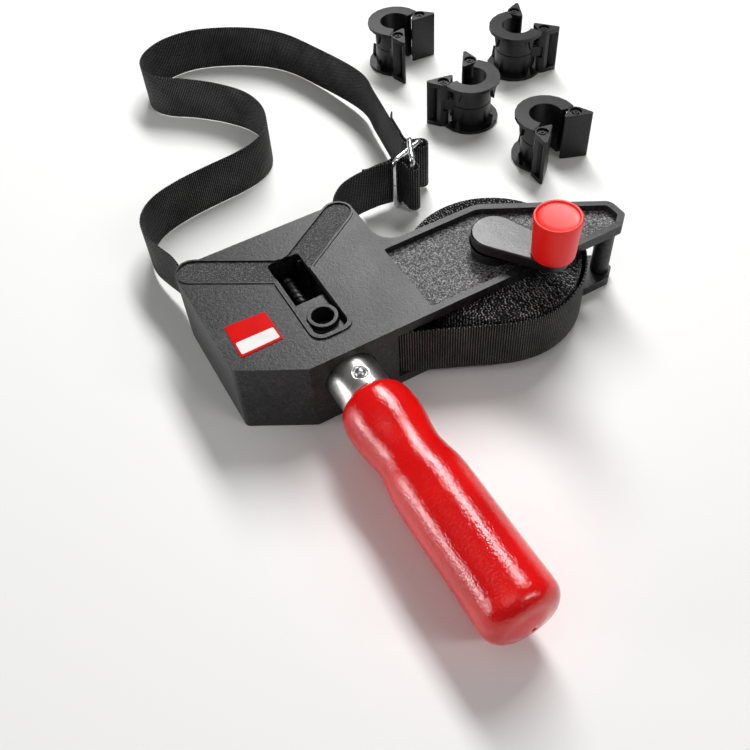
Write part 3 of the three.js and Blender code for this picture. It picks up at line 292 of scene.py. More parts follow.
@dataclass(frozen=True)
class WovenNylon:
    """Black band woven with fine ribs across its width, coloured lighter on the ribs' crests and darker in
    their grooves as painted highlight and shade. It reads the piece's own UV map, in metres.
    """

    name: str
    dark: Point3 = (0.0015, 0.0015, 0.0017)
    light: Point3 = (0.25, 0.25, 0.25)
    half_tone: float = 0.15  # the middle colour's share of the light one
    rib_pitch: float = 0.00105
    yarn_pitch: float = 0.0009
    step: Point3 = (0.5, 0.64, 0.82)  # tones where the dark, the middle and the light lie
    fray: float = 0.28  # the share of loose fibres in the tone
    fibres: float = 2400.0  # per metre
    wander: float = 260.0  # how often the ribs stray, per metre
    worn: float = 60.0  # worn patches per metre

    def build(self) -> Material:
        """Make the material.

        Returns:
            The material.
        """
        graph = Graph(self.name)
        split = graph.add("SeparateXYZ")
        graph.link(graph.coordinates.outputs["UV"], split.inputs[0])
        length, width = split.outputs[0], split.outputs[1]
        space = graph.object_space()
        stray = graph.span(graph.noise(space, self.wander, 2.0), -0.5, 0.5)
        along = graph.math("MULTIPLY", length, 2 * math.pi / self.rib_pitch)
        ribs = graph.math("SINE", graph.math("ADD", along, stray))
        across = graph.math("MULTIPLY", width, 2 * math.pi / self.yarn_pitch)
        half = graph.math("MULTIPLY", length, math.pi / self.rib_pitch)
        yarns = graph.math("MULTIPLY", graph.math("SINE", across), graph.math("SINE", half))
        height = graph.math("ADD", graph.blend(ribs, yarns, 0.3, 0.2), 0.5)
        fuzz = graph.noise(space, self.fibres, 2.0)
        patches = graph.span(graph.noise(space, self.worn, 4.0, 0.6), 0.8, 1.2)
        # Random fibres mixed with the ribs' height: painted highlight on the crests and painted shade in the
        # grooves.
        fibre_tone_and_painted_rib_shade = graph.math("MULTIPLY", graph.blend(fuzz, height, self.fray), patches)
        middle = tuple(self.half_tone * channel for channel in self.light)
        graph.colour(fibre_tone_and_painted_rib_shade, list(zip(self.step, (self.dark, middle, self.light))))
        graph.rough(fuzz, 0.5, 0.72)
        graph.set(graph.shader, Sheen_Weight=0.02, Sheen_Roughness=0.4, Specular_IOR_Level=0.14)
        graph.bump([(height, 1.0, 0.00045), (fuzz, 0.4, 0.00012)])
        return graph.material


@dataclass(frozen=True)
class Lacquer:
    """Thick glossy lacquer over turned wood, with soft runs and fine brush marks. Scales are per metre."""

    name: str
    deep: Point3
    bright: Point3
    roughness: Point = (0.05, 0.15)
    coat: float = 0.15
    gloss: float = 0.72
    ripple: float = 0.0004
    runs: float = 75.0
    marks: float = 1000.0
    mottling: float = 950.0

    def build(self) -> Material:
        """Make the material.

        Returns:
            The material.
        """
        graph = Graph(self.name)
        space = graph.object_space()
        long_space = graph.object_space((1.0, 0.35, 1.0))
        cloud = graph.noise(space, 34.0, 3.0)
        mottle = graph.noise(space, self.mottling, 2.0, 0.6)
        graph.colour(graph.blend(cloud, mottle, 0.9), [(0.3, self.deep), (0.65, self.bright)])
        graph.rough(graph.math("MULTIPLY_ADD", mottle, 3.2, -1.1), *self.roughness)
        graph.set(graph.shader, IOR=1.45, Specular_IOR_Level=self.gloss)
        graph.set(graph.shader, Coat_Weight=self.coat, Coat_Roughness=0.1)
        brushed = graph.noise(space, self.marks, 2.0, 0.6)
        runs = graph.noise(long_space, self.runs, 2.0)
        graph.bump([(runs, 0.45, self.ripple), (brushed, 1.0, self.ripple * 0.5)])
        return graph.material


@dataclass(frozen=True)
class TurnedSteel:
    """Bare steel with fine turning marks, or bright plated wire where the marks are faint."""

    name: str
    dark: Point3
    light: Point3
    roughness: Point = (0.2, 0.42)
    stretch: Point3 = (0.08, 1.0, 0.08)
    marks: float = 2600.0
    depth: float = 0.00004

    def build(self) -> Material:
        """Make the material.

        Returns:
            The material.
        """
        graph = Graph(self.name)
        marks = graph.noise(graph.object_space(self.stretch), self.marks, 3.0, 0.6)
        cloud = graph.noise(graph.object_space(), 120.0, 4.0, 0.6)
        graph.colour(cloud, [(0.32, self.dark), (0.62, self.light)])
        graph.rough(marks, *self.roughness)
        graph.set(graph.shader, Metallic=1.0)
        graph.bump([(marks, 0.4, self.depth)])
        return graph.material


@dataclass(frozen=True)
class PrintedFilm:
    """Smooth printed film of one colour, with slight unevenness."""

    name: str
    tint: Point3

    def build(self) -> Material:
        """Make the material.

        Returns:
            The material.
        """
        graph = Graph(self.name)
        cloud = graph.noise(graph.object_space(), 140.0, 3.0)
        darker = tuple(0.88 * channel for channel in self.tint)
        graph.colour(cloud, [(0.3, darker), (0.6, self.tint)])
        graph.rough(cloud, 0.3, 0.42)
        graph.set(graph.shader, Specular_IOR_Level=0.05)
        graph.bump([(graph.noise(graph.object_space(), 700.0), 0.1, 0.00003)])
        return graph.material


# For the arm's floor: the light speckles are painted glints on the grain, and the whole copy is lighter as
# painted sheen. The raised strips take a darker copy.
COARSE_PLASTIC_PAINTED_GLINTS = MouldedPlastic(
    "arm_floor_plastic_painted_sheen", (0.003, 0.003, 0.0033), (0.5, 0.5, 0.51), grain=2000.0, depth=0.0005,
    roughness=(0.2, 0.62), speckle=0.97, contrast=0.1, middle=0.57,
)


class Finish(Enum):
    """The finishes by name, each with the record's slot that it belongs to."""

    SHELL = (
        MouldedPlastic(
            "shell_plastic", (0.002, 0.002, 0.0023), (0.052, 0.052, 0.055), depth=0.0002,
            roughness=(0.22, 0.62), speckle=0.72, middle=0.56,
        ),
        Slot.HOUSING,
    )
    ARM_FLOOR_PAINTED_SHEEN = (COARSE_PLASTIC_PAINTED_GLINTS, Slot.HOUSING)
    # The raised strips: the same grain with painted glints on its light speckles, darker than the arm's floor
    # with its painted sheen.
    STRIP = (
        replace(
            COARSE_PLASTIC_PAINTED_GLINTS, name="strip_plastic_painted_glints", light=(0.3, 0.3, 0.31),
            roughness=(0.25, 0.66), contrast=0.09, middle=0.6,
        ),
        Slot.HOUSING,
    )
    SATIN = (
        MouldedPlastic(
            "satin_black_plastic", (0.004, 0.004, 0.0045), (0.014, 0.014, 0.014), grain=1300.0,
            depth=0.00008, roughness=(0.26, 0.45), gloss=0.35,
        ),
        Slot.DARK_PLASTIC,
    )
    # Near black: painted shade in the recess round each jaw's pin.
    PIN_PAINTED_SHADE = (
        MouldedPlastic("pin_plastic_painted_shade", (0.0015, 0.0015, 0.0015), (0.004, 0.004, 0.004)),
        Slot.DARK_PLASTIC,
    )
    LEVER = (
        MouldedPlastic(
            "smooth_lever_plastic", (0.002, 0.002, 0.0023), (0.014, 0.014, 0.015), grain=1500.0,
            depth=0.00006, roughness=(0.2, 0.4), gloss=0.55,
        ),
        Slot.HOUSING,
    )
    WEBBING = (WovenNylon("woven_band"), Slot.WEBBING)
    SELVEDGE = (
        WovenNylon(
            "wound_selvedge", light=(0.34, 0.34, 0.34), rib_pitch=0.0013, step=(0.5, 0.57, 0.66),
            fray=0.7, fibres=1150.0,
        ),
        Slot.WEBBING,
    )
    GRIP = (Lacquer("brushed_lacquer", (0.62, 0.001, 0.002), (0.84, 0.004, 0.003)), Slot.RED_LACQUER)
    KNOB = (
        Lacquer(
            "satin_red_plastic", (0.86, 0.006, 0.004), (0.95, 0.012, 0.006), roughness=(0.32, 0.44),
            coat=0.0, gloss=0.5, ripple=0.00004,
        ),
        Slot.RED_PLASTIC,
    )
    STEEL = (TurnedSteel("turned_steel", (0.42, 0.41, 0.39), (0.68, 0.67, 0.65)), Slot.STEEL)
    PIN = (
        TurnedSteel("domed_pin_steel", (0.4, 0.42, 0.45), (0.58, 0.6, 0.63), roughness=(0.28, 0.38)),
        Slot.STEEL,
    )
    FERRULE = (
        TurnedSteel(
            "rolled_steel", (0.5, 0.49, 0.47), (0.72, 0.71, 0.69), roughness=(0.24, 0.36), depth=0.00001
        ),
        Slot.STEEL,
    )
    # Near-black steel: painted shade for the spindle deep in the slot.
    SPINDLE_PAINTED_SHADE = (
        TurnedSteel("spindle_steel_painted_shade", (0.012, 0.012, 0.013), (0.06, 0.06, 0.063), roughness=(0.3, 0.5)),
        Slot.STEEL,
    )
    WIRE = (
        TurnedSteel(
            "plated_wire", (0.6, 0.61, 0.63), (0.86, 0.87, 0.88), roughness=(0.2, 0.32),
            stretch=(1.0, 1.0, 0.2), marks=500.0, depth=0.000008,
        ),
        Slot.WIRE,
    )
    LABEL_RED = (PrintedFilm("label_red", (0.7, 0.002, 0.001)), Slot.RED_PLASTIC)
    LABEL_WHITE = (PrintedFilm("label_white", (0.86, 0.86, 0.84)), Slot.HOUSING)

    @property
    @cache
    def material(self) -> Material:
        """The material, made on first use."""
        return self.value[0].build()

    @property
    def slot(self) -> Slot:
        """The record's slot."""
        return self.value[1]


def in_scene(name: str, data: bpy.types.ID) -> Item:
    """Make an object and link it to the scene.

    Args:
        name: The object's name.
        data: Its mesh, curve, camera or lamp.

    Returns:
        The new object.
    """
    item = bpy.data.objects.new(name, data)
    bpy.context.scene.collection.objects.link(item)
    return item


def to_mesh(shape: Shape, name: str, sharp_deg: float = SHARP) -> bpy.types.Mesh:
    """Free a bmesh into a mesh with smooth faces and sharp creases.

    Args:
        shape: The bmesh.
        name: The mesh's name.
        sharp_deg: Edges that turn by more stay sharp.

    Returns:
        The mesh.
    """
    mesh = bpy.data.meshes.new(name)
    for face in shape.faces:
        face.smooth = True
    shape.to_mesh(mesh)
    shape.free()
    mesh.set_sharp_from_angle(angle=math.radians(sharp_deg))
    return mesh


def dressed(
    name: str, shape: Shape, body: str, finish: Finish, node: str = "", sharp_deg: float = SHARP
) -> Item:
    """Turn a shape into a piece that rides on a body.

    Args:
        name: The piece's name.
        shape: Its bmesh, already in place. It is freed.
        body: The CAD body that it moves with.
        finish: Its finish.
        node: The CAD node that it stands for, if any.
        sharp_deg: Edges that turn by more stay sharp.

    Returns:
        The new object.
    """
    mesh = to_mesh(shape, f"{name}_mesh", sharp_deg)
    mesh.materials.append(finish.material)
    piece = in_scene(name, mesh)
    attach(piece, body)
    if node:
        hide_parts(node)
    log.info("%s: %d faces", name, len(mesh.polygons))
    return piece


def bevelled(piece: Item, name: str, width: float, segments: int, angle_deg: float) -> None:
    """Give a piece a live bevel, in millimetres, where its edges turn by more than an angle."""
    limits = {"limit_method": "ANGLE", "angle_limit": math.radians(angle_deg)}
    adjusted(piece.modifiers.new(name, "BEVEL"), width=width * MM, segments=segments, **limits)


def rounded(piece: Item, width: float, segments: int = 2, angle_deg: float = 38.0) -> None:
    """Round a piece's edges with a live bevel.

    Args:
        piece: The piece.
        width: The bevel's width in millimetres.
        segments: Faces across the bevel.
        angle_deg: Only edges that turn by more are rounded.
    """
    bevelled(piece, "soft_edges", width, segments, angle_deg)
    adjusted(piece.modifiers.new("even_normals", "WEIGHTED_NORMAL"), keep_sharp=True, weight=90)


def copied(node: str) -> Shape:
    """A merged copy of a CAD node's mesh, with its flat faces joined.

    Args:
        node: The CAD node's name.

    Returns:
        The bmesh.
    """
    shape = bmesh.new()
    shape.from_mesh(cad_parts[node].data)
    bmesh.ops.remove_doubles(shape, verts=shape.verts, dist=WELD)
    flat = math.radians(0.6)
    bmesh.ops.dissolve_limit(
        shape, angle_limit=flat, verts=shape.verts, edges=shape.edges, use_dissolve_boundaries=False
    )
    return shape


def refined(node: str, body: str, finish: Finish, edge: float, segments: int = 2) -> None:
    """Replace a CAD node with its own shape, smooth and with its edges rounded by some millimetres."""
    rounded(dressed(f"{node}_dressed", copied(node), body, finish, node), edge, segments)


def cleaned(shape: Shape, weld: float = WELD) -> Shape:
    """Merge a shape's doubles, then turn its faces outwards.

    Args:
        shape: The bmesh.
        weld: Vertices closer than this, in metres, become one.

    Returns:
        The same bmesh.
    """
    bmesh.ops.remove_doubles(shape, verts=shape.verts, dist=weld)
    bmesh.ops.recalc_face_normals(shape, faces=shape.faces)
    return shape


def spun(profile: Sequence[Point], centre: Point3, axis: Point3, steps: int = 96) -> Shape:
    """Spin a profile round an axis.

    Args:
        profile: Pairs of radius and place along the axis, in millimetres.
        centre: The axis' origin in millimetres.
        axis: Its direction.
        steps: Faces round the axis.

    Returns:
        The bmesh.
    """
    shape = bmesh.new()
    along = Vector(axis).normalized()
    out = along.orthogonal().normalized()
    start = Vector(centre) * MM
    verts = [shape.verts.new(start + (out * r + along * h) * MM) for r, h in profile]
    edges = [shape.edges.new(pair) for pair in zip(verts, verts[1:])]
    bmesh.ops.spin(
        shape, geom=verts + edges, cent=start, axis=along, angle=2 * math.pi, steps=steps, use_merge=True
    )
    return cleaned(shape)


def running_lengths(line: Sequence[Vector]) -> list[float]:
    """The length of a line up to each of its points, from 0 to the whole."""
    return list(accumulate(((after - point).length for point, after in zip(line, line[1:])), initial=0.0))


def smooth_line(points: Sequence[Point], steps: int, fine: int = 40) -> list[Vector]:
    """A uniform Catmull-Rom line through points, cut into steps of one length.

    Args:
        points: The points that it passes.
        steps: The number of steps.
        fine: Points between two knots before the line is cut.

    Returns:
        The line's points.
    """
    knots = [Vector((*point, 0.0)) for point in points]
    dense: list[Vector] = []
    for index in range(len(knots) - 1):
        p0 = knots[max(index - 1, 0)]
        p1, p2 = knots[index], knots[index + 1]
        p3 = knots[min(index + 2, len(knots) - 1)]
        v0, v1 = (p2 - p0) / 2, (p3 - p1) / 2
        for step in range(fine):
            t = step / fine
            cubic = (2 * p1 - 2 * p2 + v0 + v1) * t**3
            dense.append(cubic + (-3 * p1 + 3 * p2 - 2 * v0 - v1) * t**2 + v0 * t + p1)
    dense.append(knots[-1])
    return even_steps(dense, steps)


def even_steps(line: Sequence[Vector], steps: int) -> list[Vector]:
    """Cut a line into steps of one length.

    Args:
        line: The line's points.
        steps: The number of steps.

    Returns:
        The new points.
    """
    lengths = running_lengths(line)
    result = []
    index = 0
    for step in range(steps + 1):
        target = lengths[-1] * step / steps
        while index < len(line) - 2 and lengths[index + 1] < target:
            index += 1
        gap = lengths[index + 1] - lengths[index]
        share = (target - lengths[index]) / gap if gap else 0.0
        result.append(line[index].lerp(line[index + 1], min(max(share, 0.0), 1.0)))
    return result


def arc(x: float, y: float, radius: float, start: float, end: float, steps: int) -> list[Vector]:
    """Points in equal steps on an arc about a centre in the plan, between two angles in radians."""
    angles = [start + (end - start) * index / steps for index in range(steps + 1)]
    return [Vector((x + radius * math.cos(a), y + radius * math.sin(a), 0.0)) for a in angles]


def settle(share: float, start: float, end: float, low: float, high: float) -> float:
    """Go smoothly from one value to another between two shares of a length."""
    t = min(max((share - start) / (end - start), 0.0), 1.0)
    return low + (high - low) * t * t * (3 - 2 * t)


@dataclass(frozen=True)
class Post:
    """Something round that the band lies on. side is 1 where it stands on the band's right."""

    x: float
    y: float
    radius: float
    side: int


@dataclass
class BandRoute:
    """The band's way, seen from above, in millimetres with the housing's front edge at y = 0."""

    low_inside: float = 5.9
    low_free: float = 0.3
    low_hook: float = 3.1
    guided: float = 4.19  # guide's radius, clearance and half the band
    inlet: Point = (17.7, -69.55)
    front: Point = (9.31, -16.4)
    outlet: Point = (-34.51, -8.0)
    reel: Point = (80.8995, -60.6)
    coil_start: float = 8.85
    coil_end: float = 38.13
    feed_radius: float = 39.86
    exit_x: float = -38.7
    run_end: float = 1.9
    flap_gap: float = 1.23
    flap_peel: float = 2.5
    peel_length: float = 5.0
    loop_flap: float = 17.0
    strap_flap: float = 14.0
    loop_sinks: float = 0.12  # shares of the loop's length: on the floor from here
    loop_rises: Point = (0.68, 0.8)  # up to the hook between these
    strap_sinks: Point = (0.36, 0.62)
    anchor: Point = (33.4, -10.0)
    anchor_round: float = 3.69
    anchor_tail: float = 2.2
    loop_plan: Plan = (
        (-38.6, 8), (-39.2, 16), (-41.6, 26), (-43.7, 38), (-42.6, 49), (-38, 58.3), (-29.5, 65.2),
        (-15.7, 69.7), (0.8, 72.2), (16.1, 73.9), (28, 77), (37.5, 83.5), (43, 94), (45, 106.7),
        (42.1, 120.8), (32.7, 135.7), (20.5, 148.6), (8.6, 158.6), (3.4, 168.2), (4.4, 179.2),
        (11.2, 188.2), (23.7, 194.1), (40.5, 194), (58.5, 186.1), (74.5, 174.3), (84.4, 162),
        (91.2, 146.3), (98.8, 117.5), (102, 94.8), (99, 77.7), (95.5, 58), (93.5, 47.5), (92, 38.8),
    )
    long_eye: Plan = (
        (90.6, 33.6), (92.2, 28.6), (94.5, 24.7), (97, 23.2), (99.5, 24.1), (100.7, 26.8),
        (99.7, 29.5), (96.7, 31), (93.6, 32.1), (92.5, 34.9),
    )
    strap_plan: Plan = (
        (37.9, 6), (41.4, 11.8), (48.4, 17.3), (57.8, 20.7), (66.4, 22.2), (72.4, 22.5), (77, 22),
    )
    short_eye: Plan = (
        (79.9, 21.2), (81.9, 18.9), (82.3, 15.8), (82, 12.6), (83.8, 10.2), (86.6, 10.7),
        (87.5, 14), (86.5, 18), (84, 21.8), (80, 24.2),
    )

    def run(self) -> list[Vector]:
        """The band from the outer layer on the reel, past the guides, to the left corner.

        Returns:
            The points.
        """
        posts = [
            Post(*self.reel, self.feed_radius, 1),
            Post(*self.inlet, self.guided, 1),
            Post(*self.front, self.guided, -1),
            Post(*self.outlet, self.guided, 1),
            Post(self.exit_x, self.run_end, 0.0, 1),
        ]
        line: list[Vector] = []
        angle = 0.0
        for post, after in zip(posts, posts[1:]):
            across = Vector((after.x - post.x, after.y - post.y))
            reach = after.side * after.radius - post.side * post.radius
            normal = math.atan2(across.y, across.x) - math.acos(reach / across.length)
            leaving = normal + (math.pi if post.side > 0 else 0.0)
            sweep = math.fmod(leaving - angle, 2 * math.pi)
            if post.side * sweep > 0:
                sweep -= post.side * 2 * math.pi
            steps = max(math.ceil(abs(sweep) / math.radians(6)), 1)
            line += arc(post.x, post.y, post.radius, angle, angle + sweep, steps)
            angle = normal + (math.pi if after.side > 0 else 0.0)
        line.append(Vector((posts[-1].x, posts[-1].y, 0.0)))
        return line

    def flap(self, line: Sequence[Vector], length: float) -> list[Vector]:
        """The band's sewn-back end beside its own line, with a loose tip.

        Args:
            line: The line that it came along.
            length: The flap's length.

        Returns:
            The flap's points, from the eye backwards.
        """
        points: list[Vector] = []
        covered = 0.0
        index = len(line) - 2
        while index > 0 and covered < length:
            step = line[index - 1] - line[index]
            aside = Vector((step.y, -step.x, 0.0)).normalized()
            loose = max(covered - length + self.peel_length, 0.0) / self.peel_length
            points.append(line[index] + aside * (self.flap_gap + self.flap_peel * loose * loose))
            covered += step.length
            index -= 1
        return points

    def loop(self) -> list[Vector]:
        """The free loop, from the left corner to its sewn end.

        Returns:
            The points.
        """
        body = smooth_line([(self.exit_x, self.run_end), *self.loop_plan], 148)
        end = self.flap(body, self.loop_flap)
        eye = smooth_line([self.loop_plan[-1], *self.long_eye, (end[0].x, end[0].y)], 30)
        return [*body, *eye[1:-1], *end]

    def loop_low(self, share: float) -> float:
        """Height of the loop's lower edge at a share of its length."""
        if share < self.loop_rises[0]:
            return settle(share, 0.0, self.loop_sinks, self.low_inside, self.low_free)
        return settle(share, *self.loop_rises, self.low_free, self.low_hook)

    def strap(self) -> list[Vector]:
        """The short strap, from its inner end round the anchor to its sewn eye.

        Returns:
            The points.
        """
        x, y = self.anchor
        body = smooth_line([(x + self.anchor_round, 0.0), *self.strap_plan], 40)
        ring = arc(x, y, self.anchor_round, -1.5 * math.pi, 0.0, 28)
        tail = ring[0] + Vector((self.anchor_tail, 0.0, 0.0))
        end = self.flap(body, self.strap_flap)
        eye = smooth_line([self.strap_plan[-1], *self.short_eye, (end[0].x, end[0].y)], 30)
        return [tail, *ring, *body, *eye[1:-1], *end]

    def strap_low(self, share: float) -> float:
        """Height of the short strap's lower edge at a share of its length."""
        return settle(share, *self.strap_sinks, self.low_inside, self.low_hook)

    def coil(self, turns: int, per_turn: int) -> list[Vector]:
        """The wound band in the reel.

        Args:
            turns: Number of turns.
            per_turn: Steps in each turn.

        Returns:
            The points, from the drum outward.
        """
        x, y = self.reel
        points = []
        for index in range(turns * per_turn + 1):
            share = index / (turns * per_turn)
            radius = self.coil_start + (self.coil_end - self.coil_start) * share
            angle = -2 * math.pi * turns * share
            points.append(Vector((x + radius * math.cos(angle), y + radius * math.sin(angle), 0.0)))
        return points


def strip(line: Sequence[Vector], low_at: Callable[[float], float], rows: int = 4) -> Shape:
    """A band that stands on edge along a line, with a UV map in metres.

    Args:
        line: The plan points, in millimetres from the front edge.
        low_at: Height of its lower edge at a share of its length.
        rows: Faces across the width.

    Returns:
        The bmesh, before it gets its thickness.
    """
    lengths = running_lengths(line)
    last = len(line) - 1
    shape = bmesh.new()
    bmesh.ops.create_grid(shape, x_segments=last, y_segments=rows, size=1.0, calc_uvs=True)
    uv = shape.loops.layers.uv.verify()
    for vert in shape.verts:
        column = round((vert.co.x + 1) / 2 * last)
        across = BAND_WIDTH * (vert.co.y + 1) / 2
        for loop in vert.link_loops:
            loop[uv].uv = (lengths[column] * MM, across * MM)
        point = line[column]
        height = low_at(lengths[column] / lengths[-1]) + across
        vert.co = Vector((point.x, point.y + FRONT_EDGE, height)) * MM
    return shape


@dataclass
class Webbing:
    """All the band: the coil, its run through the housing, the free loop and the short strap."""

    route: BandRoute
    turns: int = 33
    per_turn: int = 60
    unevenness: float = 0.3  # how far a turn may stand above or below the next, in millimetres
    edge: float = 0.16

    def piece(
        self, name: str, shape: Shape, body: str, node: str, finish: Finish = Finish.WEBBING
    ) -> Item:
        """Give a strip its thickness and its place.

        Args:
            name: The piece's name.
            shape: The strip.
            body: The body that it moves with.
            node: The CAD node that it stands for.
            finish: Its finish.

        Returns:
            The piece.
        """
        piece = dressed(name, shape, body, finish, node)
        solid = piece.modifiers.new("thickness", "SOLIDIFY")
        adjusted(solid, thickness=BAND_THICKNESS * MM, offset=0.0, use_even_offset=True)
        bevelled(piece, "selvedge", self.edge, 1, 60.0)
        return piece

    def free_loop(self) -> None:
        line = self.route.loop()
        loop = self.piece("free_loop", strip(line, self.route.loop_low), "housing", "band_loop")
        lengths = running_lengths(line)
        for point, length in zip(line, lengths):
            height = self.route.loop_low(length / lengths[-1]) + BAND_WIDTH / 2

    def coil(self) -> None:
        """Wind the band on the reel, with turns that stand unevenly."""
        dice = random.Random(7)
        drift = [dice.uniform(-self.unevenness, self.unevenness) for _ in range(self.turns + 2)]

        def low(share: float) -> float:
            """Height of the lower edge at a share of the length."""
            turn, between = divmod(share * self.turns, 1)
            return self.route.low_inside + drift[int(turn)] * (1 - between) + drift[int(turn) + 1] * between

        shape = strip(self.route.coil(self.turns, self.per_turn), low, rows=2)
        self.piece("wound_band", shape, "reel", "band_coil", Finish.SELVEDGE)

    def build(self) -> None:
        """Make the short strap and the free loop that it is hooked to, then the rest."""
        route = self.route
        self.piece("hook_strap", strip(route.strap(), route.strap_low), "housing", "short_strap")
        self.free_loop()
        run = strip(route.run(), lambda share: route.low_inside)
        self.piece("guided_band", run, "housing", "band_run")
        self.coil()


@dataclass
class Housing:
    """The moulded shell with its base, guides and screws, and the plain label on top."""

    strip_top: float = 36.5
    arm_floor: float = 33.7
    arm_start: float = 40.0
    level_reach: float = 0.2  # how far above or below a level its faces are still counted
    label_corners: Plan = ((-37.2, -42.3), (-19.4, -43.3), (-19.1, -60.3), (-37.8, -60.8))
    label_low: float = 36.85
    label_corner: float = 0.7
    # name, start, end and inset as shares of the label, thickness, finish
    label_fields: tuple[tuple[str, float, float, float, float, Finish], ...] = (
        ("label_field_red", 0.0, 1.0, 0.0, 0.3, Finish.LABEL_RED),
        ("label_field_white", 0.56, 0.93, 0.05, 0.38, Finish.LABEL_WHITE),
    )
    small_nodes: tuple[str, ...] = (
        "inlet_guide", "front_guide", "exit_guide", "strap_anchor", "bearing_plate", "tip_screw",
    )
    screws: tuple[str, ...] = ("front_left", "side_left", "rear_left", "front_right", "side_right")

    def shell(self) -> None:
        """Dress the shell, with its arm's floor and its raised strips set apart: both get painted glints on
        their grain, and the arm's floor also gets painted sheen.
        """
        shape = copied("upper_shell")
        for face in shape.faces:
            middle = face.calc_center_median() / MM
            on_strip = abs(middle.z - self.strip_top) < self.level_reach
            on_arm = abs(middle.z - self.arm_floor) < self.level_reach and middle.x > self.arm_start
            # the arm's floor takes the copy with painted sheen, the strips the one with only painted glints
            if face.normal.z > 0.95 and (on_strip or on_arm):
                face.material_index = 1 if on_arm else 2
        piece = dressed("shell", shape, "housing", Finish.SHELL, "upper_shell")
        for finish in (Finish.ARM_FLOOR_PAINTED_SHEEN, Finish.STRIP):
            piece.data.materials.append(finish.material)
        rounded(piece, 0.45, 3)

    def label(self) -> None:
        """A plain red label with a bare white field."""
        corners = [Vector((x, y + FRONT_EDGE, self.label_low)) for x, y in self.label_corners]
        for name, start, end, inset, thickness, finish in self.label_fields:
            left = [corners[0].lerp(corners[3], share) for share in (start, end)]
            right = [corners[1].lerp(corners[2], share) for share in (start, end)]
            quad = [left[0].lerp(right[0], inset), right[0].lerp(left[0], inset)]
            quad += [right[1].lerp(left[1], inset), left[1].lerp(right[1], inset)]
            shape = bmesh.new()
            face = shape.faces.new([shape.verts.new(point * MM) for point in quad])
            grown = bmesh.ops.extrude_face_region(shape, geom=[face])
            tops = [item for item in grown["geom"] if isinstance(item, bmesh.types.BMVert)]
            bmesh.ops.translate(shape, verts=tops, vec=(0, 0, thickness * MM))
            upright = [e for e in shape.edges if abs(e.verts[0].co.z - e.verts[1].co.z) > 0.1 * MM]
            bmesh.ops.bevel(
                shape, geom=upright, offset=self.label_corner * MM, offset_type="OFFSET", segments=4,
                profile=0.5, affect="EDGES", material=-1,
            )
            bmesh.ops.recalc_face_normals(shape, faces=shape.faces)
            rounded(dressed(name, shape, "housing", finish), 0.08)

    def build(self) -> None:
        """Make the shell, the label, the base and the small pieces."""
        self.shell()
        self.label()
        for node in ("base_plate", "tip_post"):
            refined(node, "housing", Finish.SHELL, 0.3)
        for node in (*self.small_nodes, *(f"shell_screw_{place}" for place in self.screws)):
            refined(node, "housing", Finish.STEEL, 0.2)


